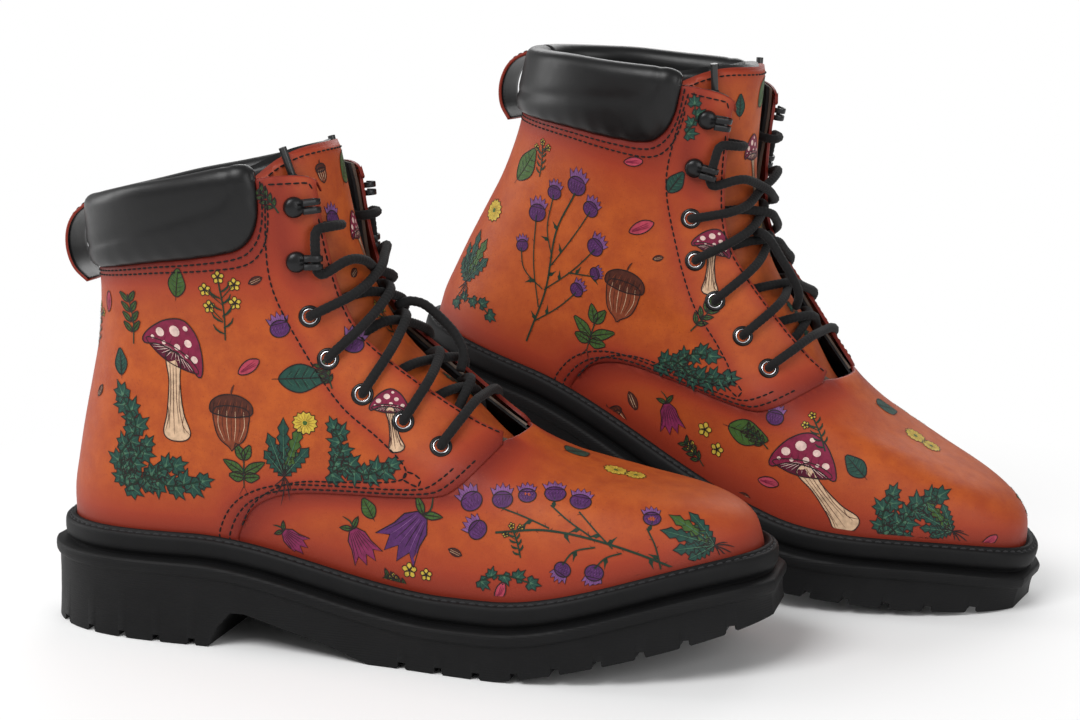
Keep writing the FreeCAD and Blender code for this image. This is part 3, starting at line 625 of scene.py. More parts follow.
def fill_outline(outline, spacing):
    """Triangles inside a flat outline, with the outline's points first."""
    low = outline.min(axis=0)
    high = outline.max(axis=0)
    xs = np.arange(low[0] + spacing / 2, high[0], spacing)
    ys = np.arange(low[1] + spacing / 2, high[1], spacing * 0.87)
    grid = np.array([(x + (spacing / 2 if j % 2 else 0), y) for j, y in enumerate(ys) for x in xs])
    if len(grid):
        grid = grid[inside_polygon(grid, outline)]
    if len(grid):
        grid = grid[edge_distance(grid, outline) > spacing * 0.45]
    points = np.vstack([outline, grid]) if len(grid) else outline
    ring = list(range(len(outline)))
    result = delaunay_2d_cdt([Vector(p) for p in points], [], [ring], 1, 1e-5)
    coords = np.array([(v.x, v.y) for v in result[0]])
    faces = [tuple(f) for f in result[2]]
    return coords, faces


def facing_out(coords3, faces, normals):
    """Turns each face so that it looks along its points' normals."""
    turned = []
    for face in faces:
        a, b, c = (coords3[k] for k in face[:3])
        if np.dot(np.cross(b - a, c - a), normals[face[0]]) < 0:
            face = tuple(reversed(face))
        turned.append(face)
    return turned


def shrink_outline(outline, inset):
    """Moves an outline inward by an inset, point by point."""
    ahead = np.roll(outline, -1, axis=0) - np.roll(outline, 1, axis=0)
    length = np.linalg.norm(ahead, axis=1)[:, None]
    inward = np.stack([-ahead[:, 1], ahead[:, 0]], axis=1) / np.maximum(length, 1e-9)
    area = np.sum(outline[:, 0] * np.roll(outline[:, 1], -1) - np.roll(outline[:, 0], -1) * outline[:, 1])
    return outline + inward * inset * (1 if area > 0 else -1)


FACE_SPACING = 3.0
PANEL_THICKNESS = 1.6


def leather_panel(boot, name, outline, height, seams):
    """A leather piece: its face, a rounded edge and its thickness, with painted shade, a deeper red near
    seams and on its edge.
    """
    top = shrink_outline(outline, 0.45)
    coords, faces = fill_outline(top, FACE_SPACING)
    points = lift(coords, height)
    normals = lift_normals(coords)
    faces = facing_out(points, faces, normals)
    shade = np.zeros(len(coords))
    # Painted shade: the leather turns deeper red near each of these lines, by its reach and weight.
    for line, reach, weight, closed in seams:
        distance = edge_distance(coords, line, closed)
        shade = np.maximum(shade, weight * np.exp(-(distance / reach) ** 1.3))
    ring = len(outline)
    start = len(points)
    rim = lift(outline, height - 0.4)
    foot = lift(outline, height - PANEL_THICKNESS)
    points = np.vstack([points, rim, foot])
    # The edge walls get painted shade as well.
    shade = np.concatenate([shade, np.ones(ring) * 0.85, np.ones(ring)])
    walls = []
    for k in range(ring):
        j = (k + 1) % ring
        walls.append((k, j, start + j, start + k))
        walls.append((start + k, start + j, start + ring + j, start + ring + k))
    area = np.sum(outline[:, 0] * np.roll(outline[:, 1], -1) - np.roll(outline[:, 0], -1) * outline[:, 1])
    first = faces[0]
    a, b, c = (coords[k] for k in first[:3])
    same_turn = (np.cross(b - a, c - a) > 0) == (area > 0)
    if same_turn:
        walls = [tuple(reversed(f)) for f in walls]
    return boot.mesh(name, points, faces + walls, [LEATHER], shade=shade, slot="printed_leather")


# ------------------------------------------------------------------ outlines of the panels
quarter_edge = side_line(QUARTER_EDGE, 60)
collar_seam = side_line(COLLAR_SEAM, 44)
eyestay_seam = side_line(EYESTAY_SEAM, 90)
opening_edge = opening_line(60)
WELT_DIP = -0.02
TUCKED_UNDER = 3.0


def welt_line(from_point, to_turn, count):
    turns = np.linspace(from_point[0] / FLAT[0], to_turn, count)
    return flat(np.stack([turns, np.full(count, WELT_DIP)], axis=1))


def quarter_outline():
    """Outer quarter, anticlockwise from its front lower corner."""
    up = quarter_edge[:-1]
    opening = opening_edge[np.argmin(np.abs(opening_edge[:, 0] - quarter_edge[-1][0]) +
                                    np.abs(opening_edge[:, 1] - quarter_edge[-1][1])):]
    top = side_line(((126.5, 179.5), (125, 184), (120, 186), (112, 186), (105, 185)), 12)
    seam = collar_seam[::-1][1:]
    heel = flat([(0.0, level) for level in np.linspace(seam[-1][1] / FLAT[1], WELT_DIP, 40)])
    welt = welt_line((0.0, 0.0), up[0][0] / FLAT[0], 34)
    return np.vstack([up, opening[:-2], top, seam, heel, welt[1:-1]])


def vamp_outline():
    """Whole vamp: outer edge, throat, inner edge and the welt."""
    outer = quarter_edge
    throat = flat([(t, outer[-1][1] / FLAT[1]) for t in np.linspace(outer[-1][0] / FLAT[0], PI, 8)])
    throat[:, 1] += 2.5 * np.sin(np.linspace(0, PI / 2, 8))
    half = np.vstack([outer, throat[1:]])
    half[:, 0] -= TUCKED_UNDER * (half[:, 1] < outer[-1][1] - 1)
    other = mirror_flat(half)[::-1][1:]
    welt = welt_line((other[-1][0], 0), half[0][0] / FLAT[0], 90)
    return np.vstack([half, other, welt[1:-1]])


QUARTER = quarter_outline()
VAMP = vamp_outline()
QUARTER_HEIGHT = 0.55
VAMP_HEIGHT = -0.35


def seam_line(line, offset):
    """A line beside another one, to its left seen along it (flat millimetres)."""
    ahead = np.gradient(line, axis=0)
    left = np.stack([-ahead[:, 1], ahead[:, 0]], axis=1)
    return line + left / np.linalg.norm(left, axis=1)[:, None] * offset


def make_upper(boot):
    welt_outer = flat([(t, 0.0) for t in np.linspace(0, 2 * PI, 120)])
    # Lines (line, reach, weight, closed) near which painted shade darkens the leather to a deep red.
    shared = [
        (quarter_edge, 8.0, 0.95, False),
        (mirror_flat(quarter_edge), 8.0, 0.95, False),
        (welt_outer, 13.0, 0.8, False),
    ]
    upper = [
        (collar_seam, 13.0, 0.95, False),
        (eyestay_seam, 5.0, 0.55, False),
        (opening_edge, 7.0, 0.65, False),
        (side_line(((112, 185), (114, 160), (118, 150)), 20), 14.0, 0.8, False),
        (flat([(0.0, level) for level in np.linspace(0, 1, 20)]), 17.0, 0.85, False),
        (side_line(((186, 84), (190, 76), (182, 70)), 12), 8.0, 0.55, False),
    ]
    vamp = leather_panel(boot, "vamp_leather", VAMP, VAMP_HEIGHT, shared)
    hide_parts(boot.node("vamp"))
    outer = leather_panel(boot, "quarter_outer", QUARTER, QUARTER_HEIGHT, shared + upper)
    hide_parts(boot.node("quarter_lateral"))
    mirrored = [(mirror_flat(line), reach, weight, closed) for line, reach, weight, closed in shared + upper]
    inner = leather_panel(boot, "quarter_inner", mirror_flat(QUARTER)[::-1], QUARTER_HEIGHT, mirrored)
    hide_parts(boot.node("quarter_medial"))


# ------------------------------------------------------------------ stitching
STITCH_SIDES = 6


def stitch_shape():
    """One stitch: a short fat thread, lengthwise along x, unit length."""
    rings = ((-0.5, 0.35, -0.35), (-0.3, 0.9, 0.15), (0.0, 1.0, 0.35), (0.3, 0.9, 0.15), (0.5, 0.35, -0.35))
    coords = []
    for x, radius, rise in rings:
        for k in range(STITCH_SIDES):
            a = 2 * PI * k / STITCH_SIDES
            coords.append((x, radius * math.cos(a), radius * math.sin(a) + rise))
    return np.array(coords), grid_faces(len(rings), STITCH_SIDES, closed_columns=True)


STITCH_COORDS, STITCH_FACES = stitch_shape()


def stitches(points, normals, length=2.3, gap=0.55, radius=0.36):
    """Stitches along a 3D line; returns points and faces to be joined."""
    gaps = np.linalg.norm(np.diff(points, axis=0), axis=1)
    run = np.concatenate([[0.0], np.cumsum(gaps)])
    count = max(1, int(run[-1] / (length + gap)))
    pitch = run[-1] / count
    coords = []
    faces = []
    for k in range(count):
        a, b = k * pitch + gap / 2, (k + 1) * pitch - gap / 2
        start = np.array([np.interp(a, run, points[:, i]) for i in range(3)])
        end = np.array([np.interp(b, run, points[:, i]) for i in range(3)])
        up = np.array([np.interp((a + b) / 2, run, normals[:, i]) for i in range(3)])
        along = end - start
        size = np.linalg.norm(along)
        along = along / size
        up = up - along * (up @ along)
        up /= np.linalg.norm(up)
        across = np.cross(up, along)
        base = len(coords) * len(STITCH_COORDS)
        local = STITCH_COORDS * (size, radius, radius)
        coords.append((start + end) / 2 + local @ np.stack([along, across, up]))
        faces += [tuple(base + i for i in f) for f in STITCH_FACES]
    return np.vstack(coords), faces


def joined(parts):
    """Points and faces of several parts as one."""
    coords = []
    faces = []
    base = 0
    for points, part_faces in parts:
        coords.append(points)
        faces += [tuple(base + k for k in f) for f in part_faces]
        base += len(points)
    return np.vstack(coords), faces


def sew(boot, name, lines):
    """All the stitches of one seam set, as one piece."""
    parts = []
    for line, height in lines:
        dense = resample(line, max(20, int(len(line) * 2)))
        parts.append(stitches(lift(dense, height), lift_normals(dense)))
    coords, faces = joined(parts)
    return boot.mesh(name, coords, faces, [THREAD], slot="lace_cord")


def make_seams(boot):
    lines = []
    rise = QUARTER_HEIGHT + 0.05
    for side in SIDES:
        turn = (lambda line: line) if side > 0 else mirror_flat
        lines.append((turn(seam_line(quarter_edge[:-4], 1.6)), rise))
        lines.append((turn(seam_line(quarter_edge[:-6], 3.6)), rise))
        lines.append((turn(eyestay_seam), rise))
        lines.append((turn(seam_line(collar_seam, -1.8)), rise))
        lines.append((turn(seam_line(collar_seam[:-3], -3.9)), rise))
        facing = seam_line(opening_edge[6:-6], 1.9)
        facing = facing[inside_polygon(facing, QUARTER)]
        lines.append((turn(facing), rise))
        top = side_line(((124, 181), (122.5, 184), (118, 184.2), (109, 184)), 20)
        lines.append((turn(seam_line(top, 0.6)), rise))
        tack = side_line(((164, 72), (170, 69.5), (171, 72.5), (165.5, 75), (164, 72)), 30)
        lines.append((turn(tack), rise))
    heel = flat([(0.0, level) for level in np.linspace(0.02, 0.8, 60)])
    for offset in (-1.6, 1.6):
        lines.append((heel + (offset, 0.0), rise))
    sew(boot, "seams", lines)


# ------------------------------------------------------------------ sole
HEEL_BREAST = 83.0
FOREFOOT = 152.0
SPRING = 205.0
CLEAT_PITCH = 15.5
CLEAT_DEPTH = 2.6
CLEAT_HALF = 1.7
# Band: (ledge, drop under the welt line), from inside the upper round to the flat under it.
BAND_PROFILE = (
    (-5.0, 1.0), (-0.6, 0.9), (0.2, -0.1), (1.2, -0.9), (2.4, -1.0), (2.9, -0.4), (3.1, 0.2), (3.6, 0.2),
    (4.2, 0.3), (4.8, 0.9), (5.1, 1.9), (5.2, 3.4), (5.2, 5.2), (5.0, 6.6), (4.5, 7.6), (3.9, 8.2),
    (3.6, 9.0), (3.6, 10.0),
)
# Tread block: (ledge, drop under the welt line) down to the wall, whose foot follows the tread.
LIP_PROFILE = ((3.4, 9.6), (5.6, 9.6), (8.0, 9.7), (8.8, 10.1), (9.2, 10.9), (9.3, 12.2), (9.2, 13.6),
               (8.8, 14.5),
               (8.1, 15.0), (7.8, 15.6))


def plan_ring(turns):
    """Welt line's points and their level outward directions."""
    base = surface(0.0, turns)
    ahead = surface(0.0, turns + 0.02) - surface(0.0, turns - 0.02)
    out = np.stack([ahead[:, 1], -ahead[:, 0], np.zeros(len(turns))], axis=1)
    return base, out / np.linalg.norm(out, axis=1)[:, None]


def ledge_points(turns, ledge, drop):
    base, out = plan_ring(turns)
    points = base + out * ledge
    points[:, 2] = seat(points[:, 0]) - drop
    return points


def tread_height(x):
    """Height of the underside at x, with the heel block, the arch and the rise of the toe."""
    x = np.asarray(x, float)
    run = np.maximum(0.0, x - SPRING) / (306.0 - SPRING)
    z = 22.0 * run ** 1.1
    arch = np.interp(x, (HEEL_BREAST, 87, 93, 99, 105, 118, 134, 144, FOREFOOT),
                     (0, 8, 14.5, 14.6, 13, 9.6, 6, 2.6, 0))
    z = np.where((x > HEEL_BREAST) & (x < FOREFOOT), arch, z)
    return z


def cleat_spots():
    heel = [14 + CLEAT_PITCH * k for k in range(5)]
    fore = [FOREFOOT + 14 + CLEAT_PITCH * k for k in range(9)]
    return heel + fore


def sole_stations():
    """x of every station along the tread, with each groove's four corners among them, and its height."""
    span = (1 - np.cos(np.linspace(0, PI, 150))) / 2
    plain_x = 3.0 + span * 300.0
    keep = np.ones(len(plain_x), bool)
    extra = []
    for x in cleat_spots():
        keep &= np.abs(plain_x - x) > CLEAT_HALF + 0.6
        z = tread_height(x)
        rim = 0.45
        extra += [(x - CLEAT_HALF - rim, tread_height(x - CLEAT_HALF - rim)),
                  (x - CLEAT_HALF, tread_height(x - CLEAT_HALF) + rim),
                  (x - CLEAT_HALF + 0.3, z + CLEAT_DEPTH), (x + CLEAT_HALF - 0.3, z + CLEAT_DEPTH),
                  (x + CLEAT_HALF, tread_height(x + CLEAT_HALF) + rim),
                  (x + CLEAT_HALF + rim, tread_height(x + CLEAT_HALF + rim))]
    for x in (HEEL_BREAST, 87, 93, 99, 105, FOREFOOT):
        keep &= np.abs(plain_x - x) > 0.8
        extra.append((x, tread_height(x)))
    rows = [(x, tread_height(x)) for x in plain_x[keep]] + extra
    return np.array(sorted((float(x), float(z)) for x, z in rows))


def make_band(boot):
    turns = np.linspace(0, 2 * PI, 240, endpoint=False)
    rings = np.stack([ledge_points(turns, ledge, drop) for ledge, drop in BAND_PROFILE])
    coords = rings.reshape(-1, 3)
    faces = grid_faces(len(BAND_PROFILE), len(turns), closed_columns=True)
    faces = [tuple(reversed(f)) for f in faces]
    piece = boot.mesh("welt_band", coords, faces, [WELT_RUBBER], slot="welt_rubber")
    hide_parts(boot.node("midsole"))
    groove = ledge_points(np.linspace(0, 2 * PI, 700), 3.3, 0.25)
    up = np.tile((0.0, 0.0, 1.0), (len(groove), 1))
    coords, faces = stitches(groove, up, length=3.0, gap=0.9, radius=0.5)
    boot.mesh("welt_stitches", coords, faces, [WELT_THREAD], slot="lace_cord")


def make_tread(boot):
    stations = sole_stations()
    wall_ledge = 8.6
    sweep = np.linspace(0, PI, 600)
    halves = []
    for sign in (1, -1):
        base, out = plan_ring(sweep * sign)
        reach = np.maximum.accumulate((base + out * wall_ledge)[:, 0])
        halves.append(np.interp(stations[:, 0], reach, sweep) * sign)
    outer, inner = halves
    turns = np.concatenate([outer, inner[::-1]])
    heights = np.concatenate([stations[:, 1], stations[::-1, 1]])
    rings = [ledge_points(turns, ledge, drop) for ledge, drop in LIP_PROFILE]
    top = rings[-1][:, 2]
    for share, ledge in ((0.3, 7.8), (0.62, 8.0), (0.9, 8.4), (1.0, 8.6)):
        ring = ledge_points(turns, ledge, 0.0)
        ring[:, 2] = top + (heights - top) * share
        rings.append(ring)
    last = ledge_points(turns, wall_ledge - 0.7, 0.0)
    last[:, 2] = heights
    rings.append(last)
    coords = np.vstack(rings)
    columns = len(turns)
    faces = [tuple(reversed(f)) for f in grid_faces(len(rings), columns, closed_columns=True)]
    foot = (len(rings) - 1) * columns
    count = len(stations)
    for k in range(count - 1):
        faces.append((foot + k, foot + k + 1, foot + columns - 2 - k, foot + columns - 1 - k))
    top_faces = [(columns - 1 - k, columns - 2 - k, k + 1, k) for k in range(count - 1)]
    piece = boot.mesh("tread", coords, faces + top_faces, [SOLE_RUBBER], slot="sole_rubber", smooth=True)
    sharpen(piece, 38.0)
    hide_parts(boot.node("outsole"))


def sharpen(piece, degrees):
    """Keeps edges crisp where faces meet at more than the angle."""
    mesh = piece.data
    faces = [p.normal.copy() for p in mesh.polygons]
    sides = {}
    for p in mesh.polygons:
        for key in p.edge_keys:
            sides.setdefault(key, []).append(p.index)
    limit = math.cos(math.radians(degrees))
    sharp = []
    for edge in mesh.edges:
        pair = sides.get(edge.key, [])
        sharp.append(len(pair) == 2 and faces[pair[0]].dot(faces[pair[1]]) < limit)
    mesh.attributes.new("sharp_edge", "BOOLEAN", "EDGE").data.foreach_set("value", sharp)


# ------------------------------------------------------------------ padded collar
def make_collar(boot):
    rows = 22
    seam = side_line(COLLAR_SEAM, 70)
    seam[0, 0] = 0.0
    top = side_line(COLLAR_TOP[::-1], 70)
    top[0, 0] = 0.0
    share = np.linspace(0, 1, 70) ** 1.06
    along = np.linspace(0, 1, 70)
    top = np.stack([np.interp(share, along, top[:, k]) for k in (0, 1)], axis=1)
    both_seam = np.vstack([seam[:0:-1] * (-1, 1), seam])
    both_top = np.vstack([top[:0:-1] * (-1, 1), top])
    columns = len(both_seam)
    run = np.linspace(-1, 1, columns)
    steps = np.linspace(0, 1, rows) ** 1.25
    grid = []
    for s in steps:
        line = both_seam + (both_top - both_seam) * s
        depth = edge_distance(line, both_seam, closed=False)
        swell = np.sqrt(np.clip(1 - (1 - np.clip(depth / 8.5, 0, 1)) ** 2, 0, 1))
        crease = 0.5 * np.exp(-((depth - 10.5) / 1.6) ** 2)
        pucker = 0.22 * np.sin(run * 74) * np.exp(-depth / 3.0)
        grid.append((line, 0.5 + 4.0 * swell - crease + pucker))
    top_height = grid[-1][1]
    depth = edge_distance(both_top, both_seam, closed=False)
    inner = -5.6 + 1.2 * np.exp(-depth / 3.0)
    middle = (top_height + inner) / 2
    radius = (top_height - inner) / 2
    for a in np.linspace(0, PI, 13)[1:]:
        lifted = both_top + np.stack([np.zeros(columns), radius * math.sin(a)], axis=1)
        grid.append((lifted, middle + radius * math.cos(a)))
    for drop in (3.0, 6.0, 9.0, 12.0, 13.0):
        lowered = both_top - np.stack([np.zeros(columns), np.minimum(drop, depth * 0.8)], axis=1)
        grid.append((lowered, inner * (1.0 if drop < 12.5 else 0.72)))
    coords = np.vstack([lift(line, height) for line, height in grid])
    faces = grid_faces(len(grid), columns)
    start = len(coords)
    total = len(grid)
    ends = []
    for column in (0, columns - 1):
        ring = [r * columns + column for r in range(total)]
        ends.append(coords[ring].mean(axis=0))
        centre = start + len(ends) - 1
        for a, b in zip(ring, ring[1:]):
            faces.append((centre, b, a) if column == 0 else (centre, a, b))
    coords = np.vstack([coords, ends])
    piece = boot.mesh("collar_roll", coords, faces, [BLACK_LEATHER], slot="black_leather")
    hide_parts(boot.node("collar_cover"), boot.node("collar_foam"))
    return piece


# ------------------------------------------------------------------ tongue and gussets
TONGUE = ((78, 20), (84, 23), (100, 26), (125, 28), (150, 30), (178, 31), (186, 29.5), (192, 25.5),
          (195.5, 19), (197, 9), (197.3, 0))
TONGUE_HEIGHT = -9.3
PAD_HEIGHT = -10.8


def front_line(table, height, count, side=1):
    """Line at a half width for each height z in front, at a height over the face, as flat points."""
    line = smooth_line(table, 48)
    turns = np.linspace(PI * 0.55, PI, 130)
    z = np.repeat(line[:, :1], len(turns), axis=1).ravel()
    ts = np.tile(turns, len(line))
    middle = level_at(z, ts, lambda level, turn: skin(level, turn, height), 20)
    reach = -skin(middle, ts, height)[:, 1].reshape(len(line), -1)
    middle = middle.reshape(len(line), -1)
    found = []
    for k, half in enumerate(line[:, 1]):
        gap = reach[k] - half
        near = np.nonzero(gap[:-1] * gap[1:] <= 0)[0]
        if len(near) == 0:
            j = int(np.argmin(np.abs(gap)))
            found.append((turns[j], middle[k, j]))
            continue
        j = near[-1]
        u = gap[j] / (gap[j] - gap[j + 1])
        found.append((turns[j] + (turns[j + 1] - turns[j]) * u,
                      middle[k, j] + (middle[k, j + 1] - middle[k, j]) * u))
    line = resample(flat(found), count)
    return line if side > 0 else mirror_flat(line)


def tongue_outline(grow=0.0, height=TONGUE_HEIGHT):
    table = [(z, w + grow if w > 0 else 0) for z, w in TONGUE[:-1]] + [TONGUE[-1]]
    side = front_line(table, height, 60)
    bottom = flat([(t, side[0][1] / FLAT[1]) for t in np.linspace(side[0][0] / FLAT[0], PI, 8)])[1:-1]
    half = np.vstack([bottom[::-1], side[:-1]])
    return np.vstack([half, [side[-1]], mirror_flat(half)[::-1]])


def pillow(boot, name, outline, low, high, edge, materials, slot, body, shade=None):
    """A closed cushion over a flat outline, domed from its edge inward on both faces."""
    coords, faces = fill_outline(outline, FACE_SPACING)
    depth = edge_distance(coords, outline)
    swell = np.sqrt(np.clip(1 - (1 - np.clip(depth / edge, 0, 1)) ** 2, 0, 1))
    middle = (low + high) / 2
    top = lift(coords, middle + (high - middle) * swell)
    bottom = lift(coords, middle + (low - middle) * swell)
    normals = lift_normals(coords)
    count = len(coords)
    upper = facing_out(top, faces, normals)
    ring = len(outline)
    inner_points = list(range(ring, count))
    renumber = {k: count + i for i, k in enumerate(inner_points)}
    lower = [tuple(renumber.get(k, k) for k in reversed(f)) for f in upper]
    points = np.vstack([top, bottom[inner_points]])
    values = None
    # Painted shade: darker towards the cushion's edge.
    if shade is not None:
        values = shade * np.exp(-depth / 4.0)
        values = np.concatenate([values, values[inner_points]])
    return boot.mesh(name, points, upper + lower, materials, shade=values, body=body, slot=slot)


def make_tongue(boot):
    outline = tongue_outline()
    # The tongue leather gets painted shade towards its edge.
    leather = pillow(boot, "tongue_leather", outline, TONGUE_HEIGHT - 1.5, TONGUE_HEIGHT + 0.25, 1.6,
                     [LEATHER],
                     "printed_leather", "tongue", shade=0.75)
    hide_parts(boot.node("tongue"))
    pad = pillow(boot, "tongue_pad", tongue_outline(0.7, PAD_HEIGHT), PAD_HEIGHT - 3.9, PAD_HEIGHT, 4.0,
                 [BLACK_LEATHER],
                 "black_leather", "tongue")
    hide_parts(boot.node("tongue_padding"))
    inset = shrink_outline(outline, 2.2)[8:-8]
    dense = resample(inset, 220)
    coords, faces = stitches(lift(dense, TONGUE_HEIGHT + 0.3), lift_normals(dense))
    boot.mesh("tongue_seam", coords, faces, [THREAD], body="tongue", slot="lace_cord")


GUSSET_OUTER = ((88, 27), (100, 30), (125, 33), (150, 34.5), (166, 35))
GUSSET_INNER = ((88, 15), (100, 16), (125, 17), (150, 18), (166, 19))
# Across the gusset, from the facing to the tongue: (share, height over the face).
GUSSET_FOLD = ((0.0, -8.5), (0.12, -7.9), (0.25, -6.9), (0.36, -6.6), (0.46, -7.1), (0.56, -8.2),
               (0.66, -8.7),
               (0.78, -8.3), (0.9, -8.4), (1.0, -8.9))


def make_gussets(boot):
    for side, name in ((1, "gusset_lateral"), (-1, "gusset_medial")):
        rows = 40
        outer = front_line(GUSSET_OUTER, -8.6, rows, side)
        inner = front_line(GUSSET_INNER, -8.6, rows, side)
        top = []
        under = []
        for share, height in GUSSET_FOLD:
            line = outer + (inner - outer) * share
            wave = 0.25 * np.sin(np.linspace(0, 17, rows) + share * 4)
            top.append(lift(line, height + wave))
            under.append(lift(line, height + wave - 0.6))
        sheet = np.stack(top, axis=1)
        back = np.stack(under, axis=1)
        columns = len(GUSSET_FOLD)
        coords = np.vstack([sheet.reshape(-1, 3), back.reshape(-1, 3)])
        front = grid_faces(rows, columns)
        if side < 0:
            front = [tuple(reversed(f)) for f in front]
        behind = [tuple(rows * columns + k for k in reversed(f)) for f in front]
        walls = []
        half = rows * columns
        loop = ([(0, j) for j in range(columns)] + [(i, columns - 1) for i in range(1, rows)]
                + [(rows - 1, j) for j in range(columns - 2, -1, -1)] + [(i, 0) for i in range(rows - 2, 0,
                    -1)])
        ids = [i * columns + j for i, j in loop]
        for a, b in zip(ids, ids[1:] + ids[:1]):
            wall = (b, a, half + a, half + b)
            walls.append(wall if side > 0 else tuple(reversed(wall)))
        # The bellows get painted shade all over, a deeper red.
        piece = boot.mesh(name.replace("gusset", "bellows"), coords, front + behind + walls, [LEATHER],
                          shade=np.full(len(coords), 0.35), slot="gusset_leather")
        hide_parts(boot.node(name))


# ------------------------------------------------------------------ lace
LACE_RADIUS = 1.9
HIGH = 3.2
OVER_EDGE = 3.0
BELOW_EDGE = -1.6
BAR_SAG = -0.6
INSIDE = -6.0
UNDER_EDGE = -6.3
NEAR_TONGUE = -6.4
CROSS_OVER = -2.2
TUCK = (119, 165)
HOOK_CENTRE = 3.95


def wrapped(place, side):
    turn, level = locate([place], side)[0]
    return np.array((level, turn))


def press(points, guesses, across, up):
    """(turn, level) where lines through the points, square to across and up, meet the outer face."""
    turn = guesses[:, 0].copy()
    level = guesses[:, 1].copy()
    for _ in range(14):
        gap = surface(level, turn) - points
        by_level = (surface(level + 0.005, turn) - surface(level - 0.005, turn)) * 100
        by_turn = (surface(level, turn + 0.01) - surface(level, turn - 0.01)) * 50
        a, b, p = by_level @ across, by_turn @ across, gap @ across
        c, d, q = by_level @ up, by_turn @ up, gap @ up
        whole = a * d - b * c
        whole = np.where(np.abs(whole) < 1.0, 1.0, whole)
        level = level - np.clip((p * d - q * b) / whole, -0.2, 0.2)
        turn = turn - np.clip((q * a - p * c) / whole, -0.3, 0.3)
    return np.stack([turn, level], axis=1)


def strand(start, end, steps):
    """Points of a lace pulled straight between two (level, turn) places: (share, height) steps."""
    share = np.array([s for s, _ in steps])[:, None]
    height = np.array([h for _, h in steps])
    low = surface(*start)[0]
    high = surface(*end)[0]
    along = outward(*start)[0] + outward(*end)[0]
    first = np.cross(along, (0.0, 1.0, 0.0))
    first /= np.linalg.norm(first)
    second = np.cross(along / np.linalg.norm(along), first)
    guess = (start + (end - start) * share)[:, ::-1]
    found = press(low + (high - low) * share, guess, first, second)
    return list(skin(found[:, 1], found[:, 0], height))


def crossing(start, end, upper):
    middle = CROSS_OVER if upper else NEAR_TONGUE
    return strand(start, end, ((0.0, HIGH), (0.14, OVER_EDGE), (0.27, BELOW_EDGE), (0.5, middle),
                               (0.7, INSIDE),
                               (0.86, UNDER_EDGE), (1.0, UNDER_EDGE)))


def half_lace(side, upper_first):
    """One half of the lace, from the lowest bar to its tucked end."""
    places = {s: [wrapped(p, s) for p in EYELETS] for s in SIDES}
    here = places[side][0]
    bar = ((0.2, BAR_SAG), (0.36, OVER_EDGE), (0.5, HIGH))
    route = strand(places[1][0], places[-1][0], [(0.5 - part * side, height) for part, height in bar])
    middle = CROSS_OVER if upper_first else NEAR_TONGUE
    route += strand(here, places[-side][1],
                    ((0.0, UNDER_EDGE), (0.14, UNDER_EDGE), (0.3, INSIDE), (0.5, middle),
                                             (0.7, INSIDE), (0.86, UNDER_EDGE), (1.0, UNDER_EDGE)))
    now = -side
    upper = upper_first
    for k in range(1, 4):
        upper = not upper
        route += crossing(places[now][k], places[-now][k + 1], upper)
        now = -now
    hook_side = -now
    middle = NEAR_TONGUE if upper else CROSS_OVER
    route += strand(places[now][4], wrapped(HOOKS[0], hook_side), (
        (0.0, HIGH), (0.14, OVER_EDGE), (0.27, BELOW_EDGE), (0.5, middle), (0.68, BELOW_EDGE),
        (0.82, OVER_EDGE)))
    frame_of_hook = spot(HOOKS[0], hook_side)
    for x, y in ((7.4, -6.5), (6.8, 6.5)):
        route.append(frame_of_hook((x, y * hook_side, HOOK_CENTRE)))
    start = wrapped(TUCK, hook_side)
    end = wrapped(TUCK, -hook_side)
    route += strand(start, end, ((0.054, 3.8), (0.145, 3.2), (0.225, BELOW_EDGE), (0.172, UNDER_EDGE - 0.4),
                                 (0.071, UNDER_EDGE - 0.2)))
    rise = start + (0.07, 0.0)
    return route + strand(rise, np.array((rise[0], end[1])), ((0.046, UNDER_EDGE - 0.2),))


def spot(place, side):
    """Gives a function from a spot's own axes (X forward, Z out of the leather) to the boot's frame."""
    turn, level = locate([place], side)[0]
    centre = surface(level, turn)[0]
    out = outward(level, turn)[0]
    ahead = (surface(level, turn + 0.01 * side) - surface(level, turn - 0.01 * side))[0]
    ahead -= out * (ahead @ out)
    ahead /= np.linalg.norm(ahead)
    axes = np.stack([ahead, np.cross(out, ahead), out])
    return lambda local: centre + np.asarray(local, float) @ axes


CORNER_SHARE = 0.45
CORNER_STEPS = 9


def rounded(points):
    """Straight runs with a round bend at each corner."""
    out = [points[0]]
    for before, corner, after in zip(points, points[1:], points[2:]):
        a = corner - before
        b = after - corner
        trim = CORNER_SHARE * min(np.linalg.norm(a), np.linalg.norm(b))
        entry = corner - a / np.linalg.norm(a) * trim
        leave = corner + b / np.linalg.norm(b) * trim
        for u in np.linspace(0, 1, CORNER_STEPS):
            out.append(entry * (1 - u) ** 2 + corner * 2 * u * (1 - u) + leave * u * u)
    out.append(points[-1])
    return np.array(out)


BRAID_PITCH = 0.62
BRAID_SIDES = 18
BRAID_RELIEF = 0.11


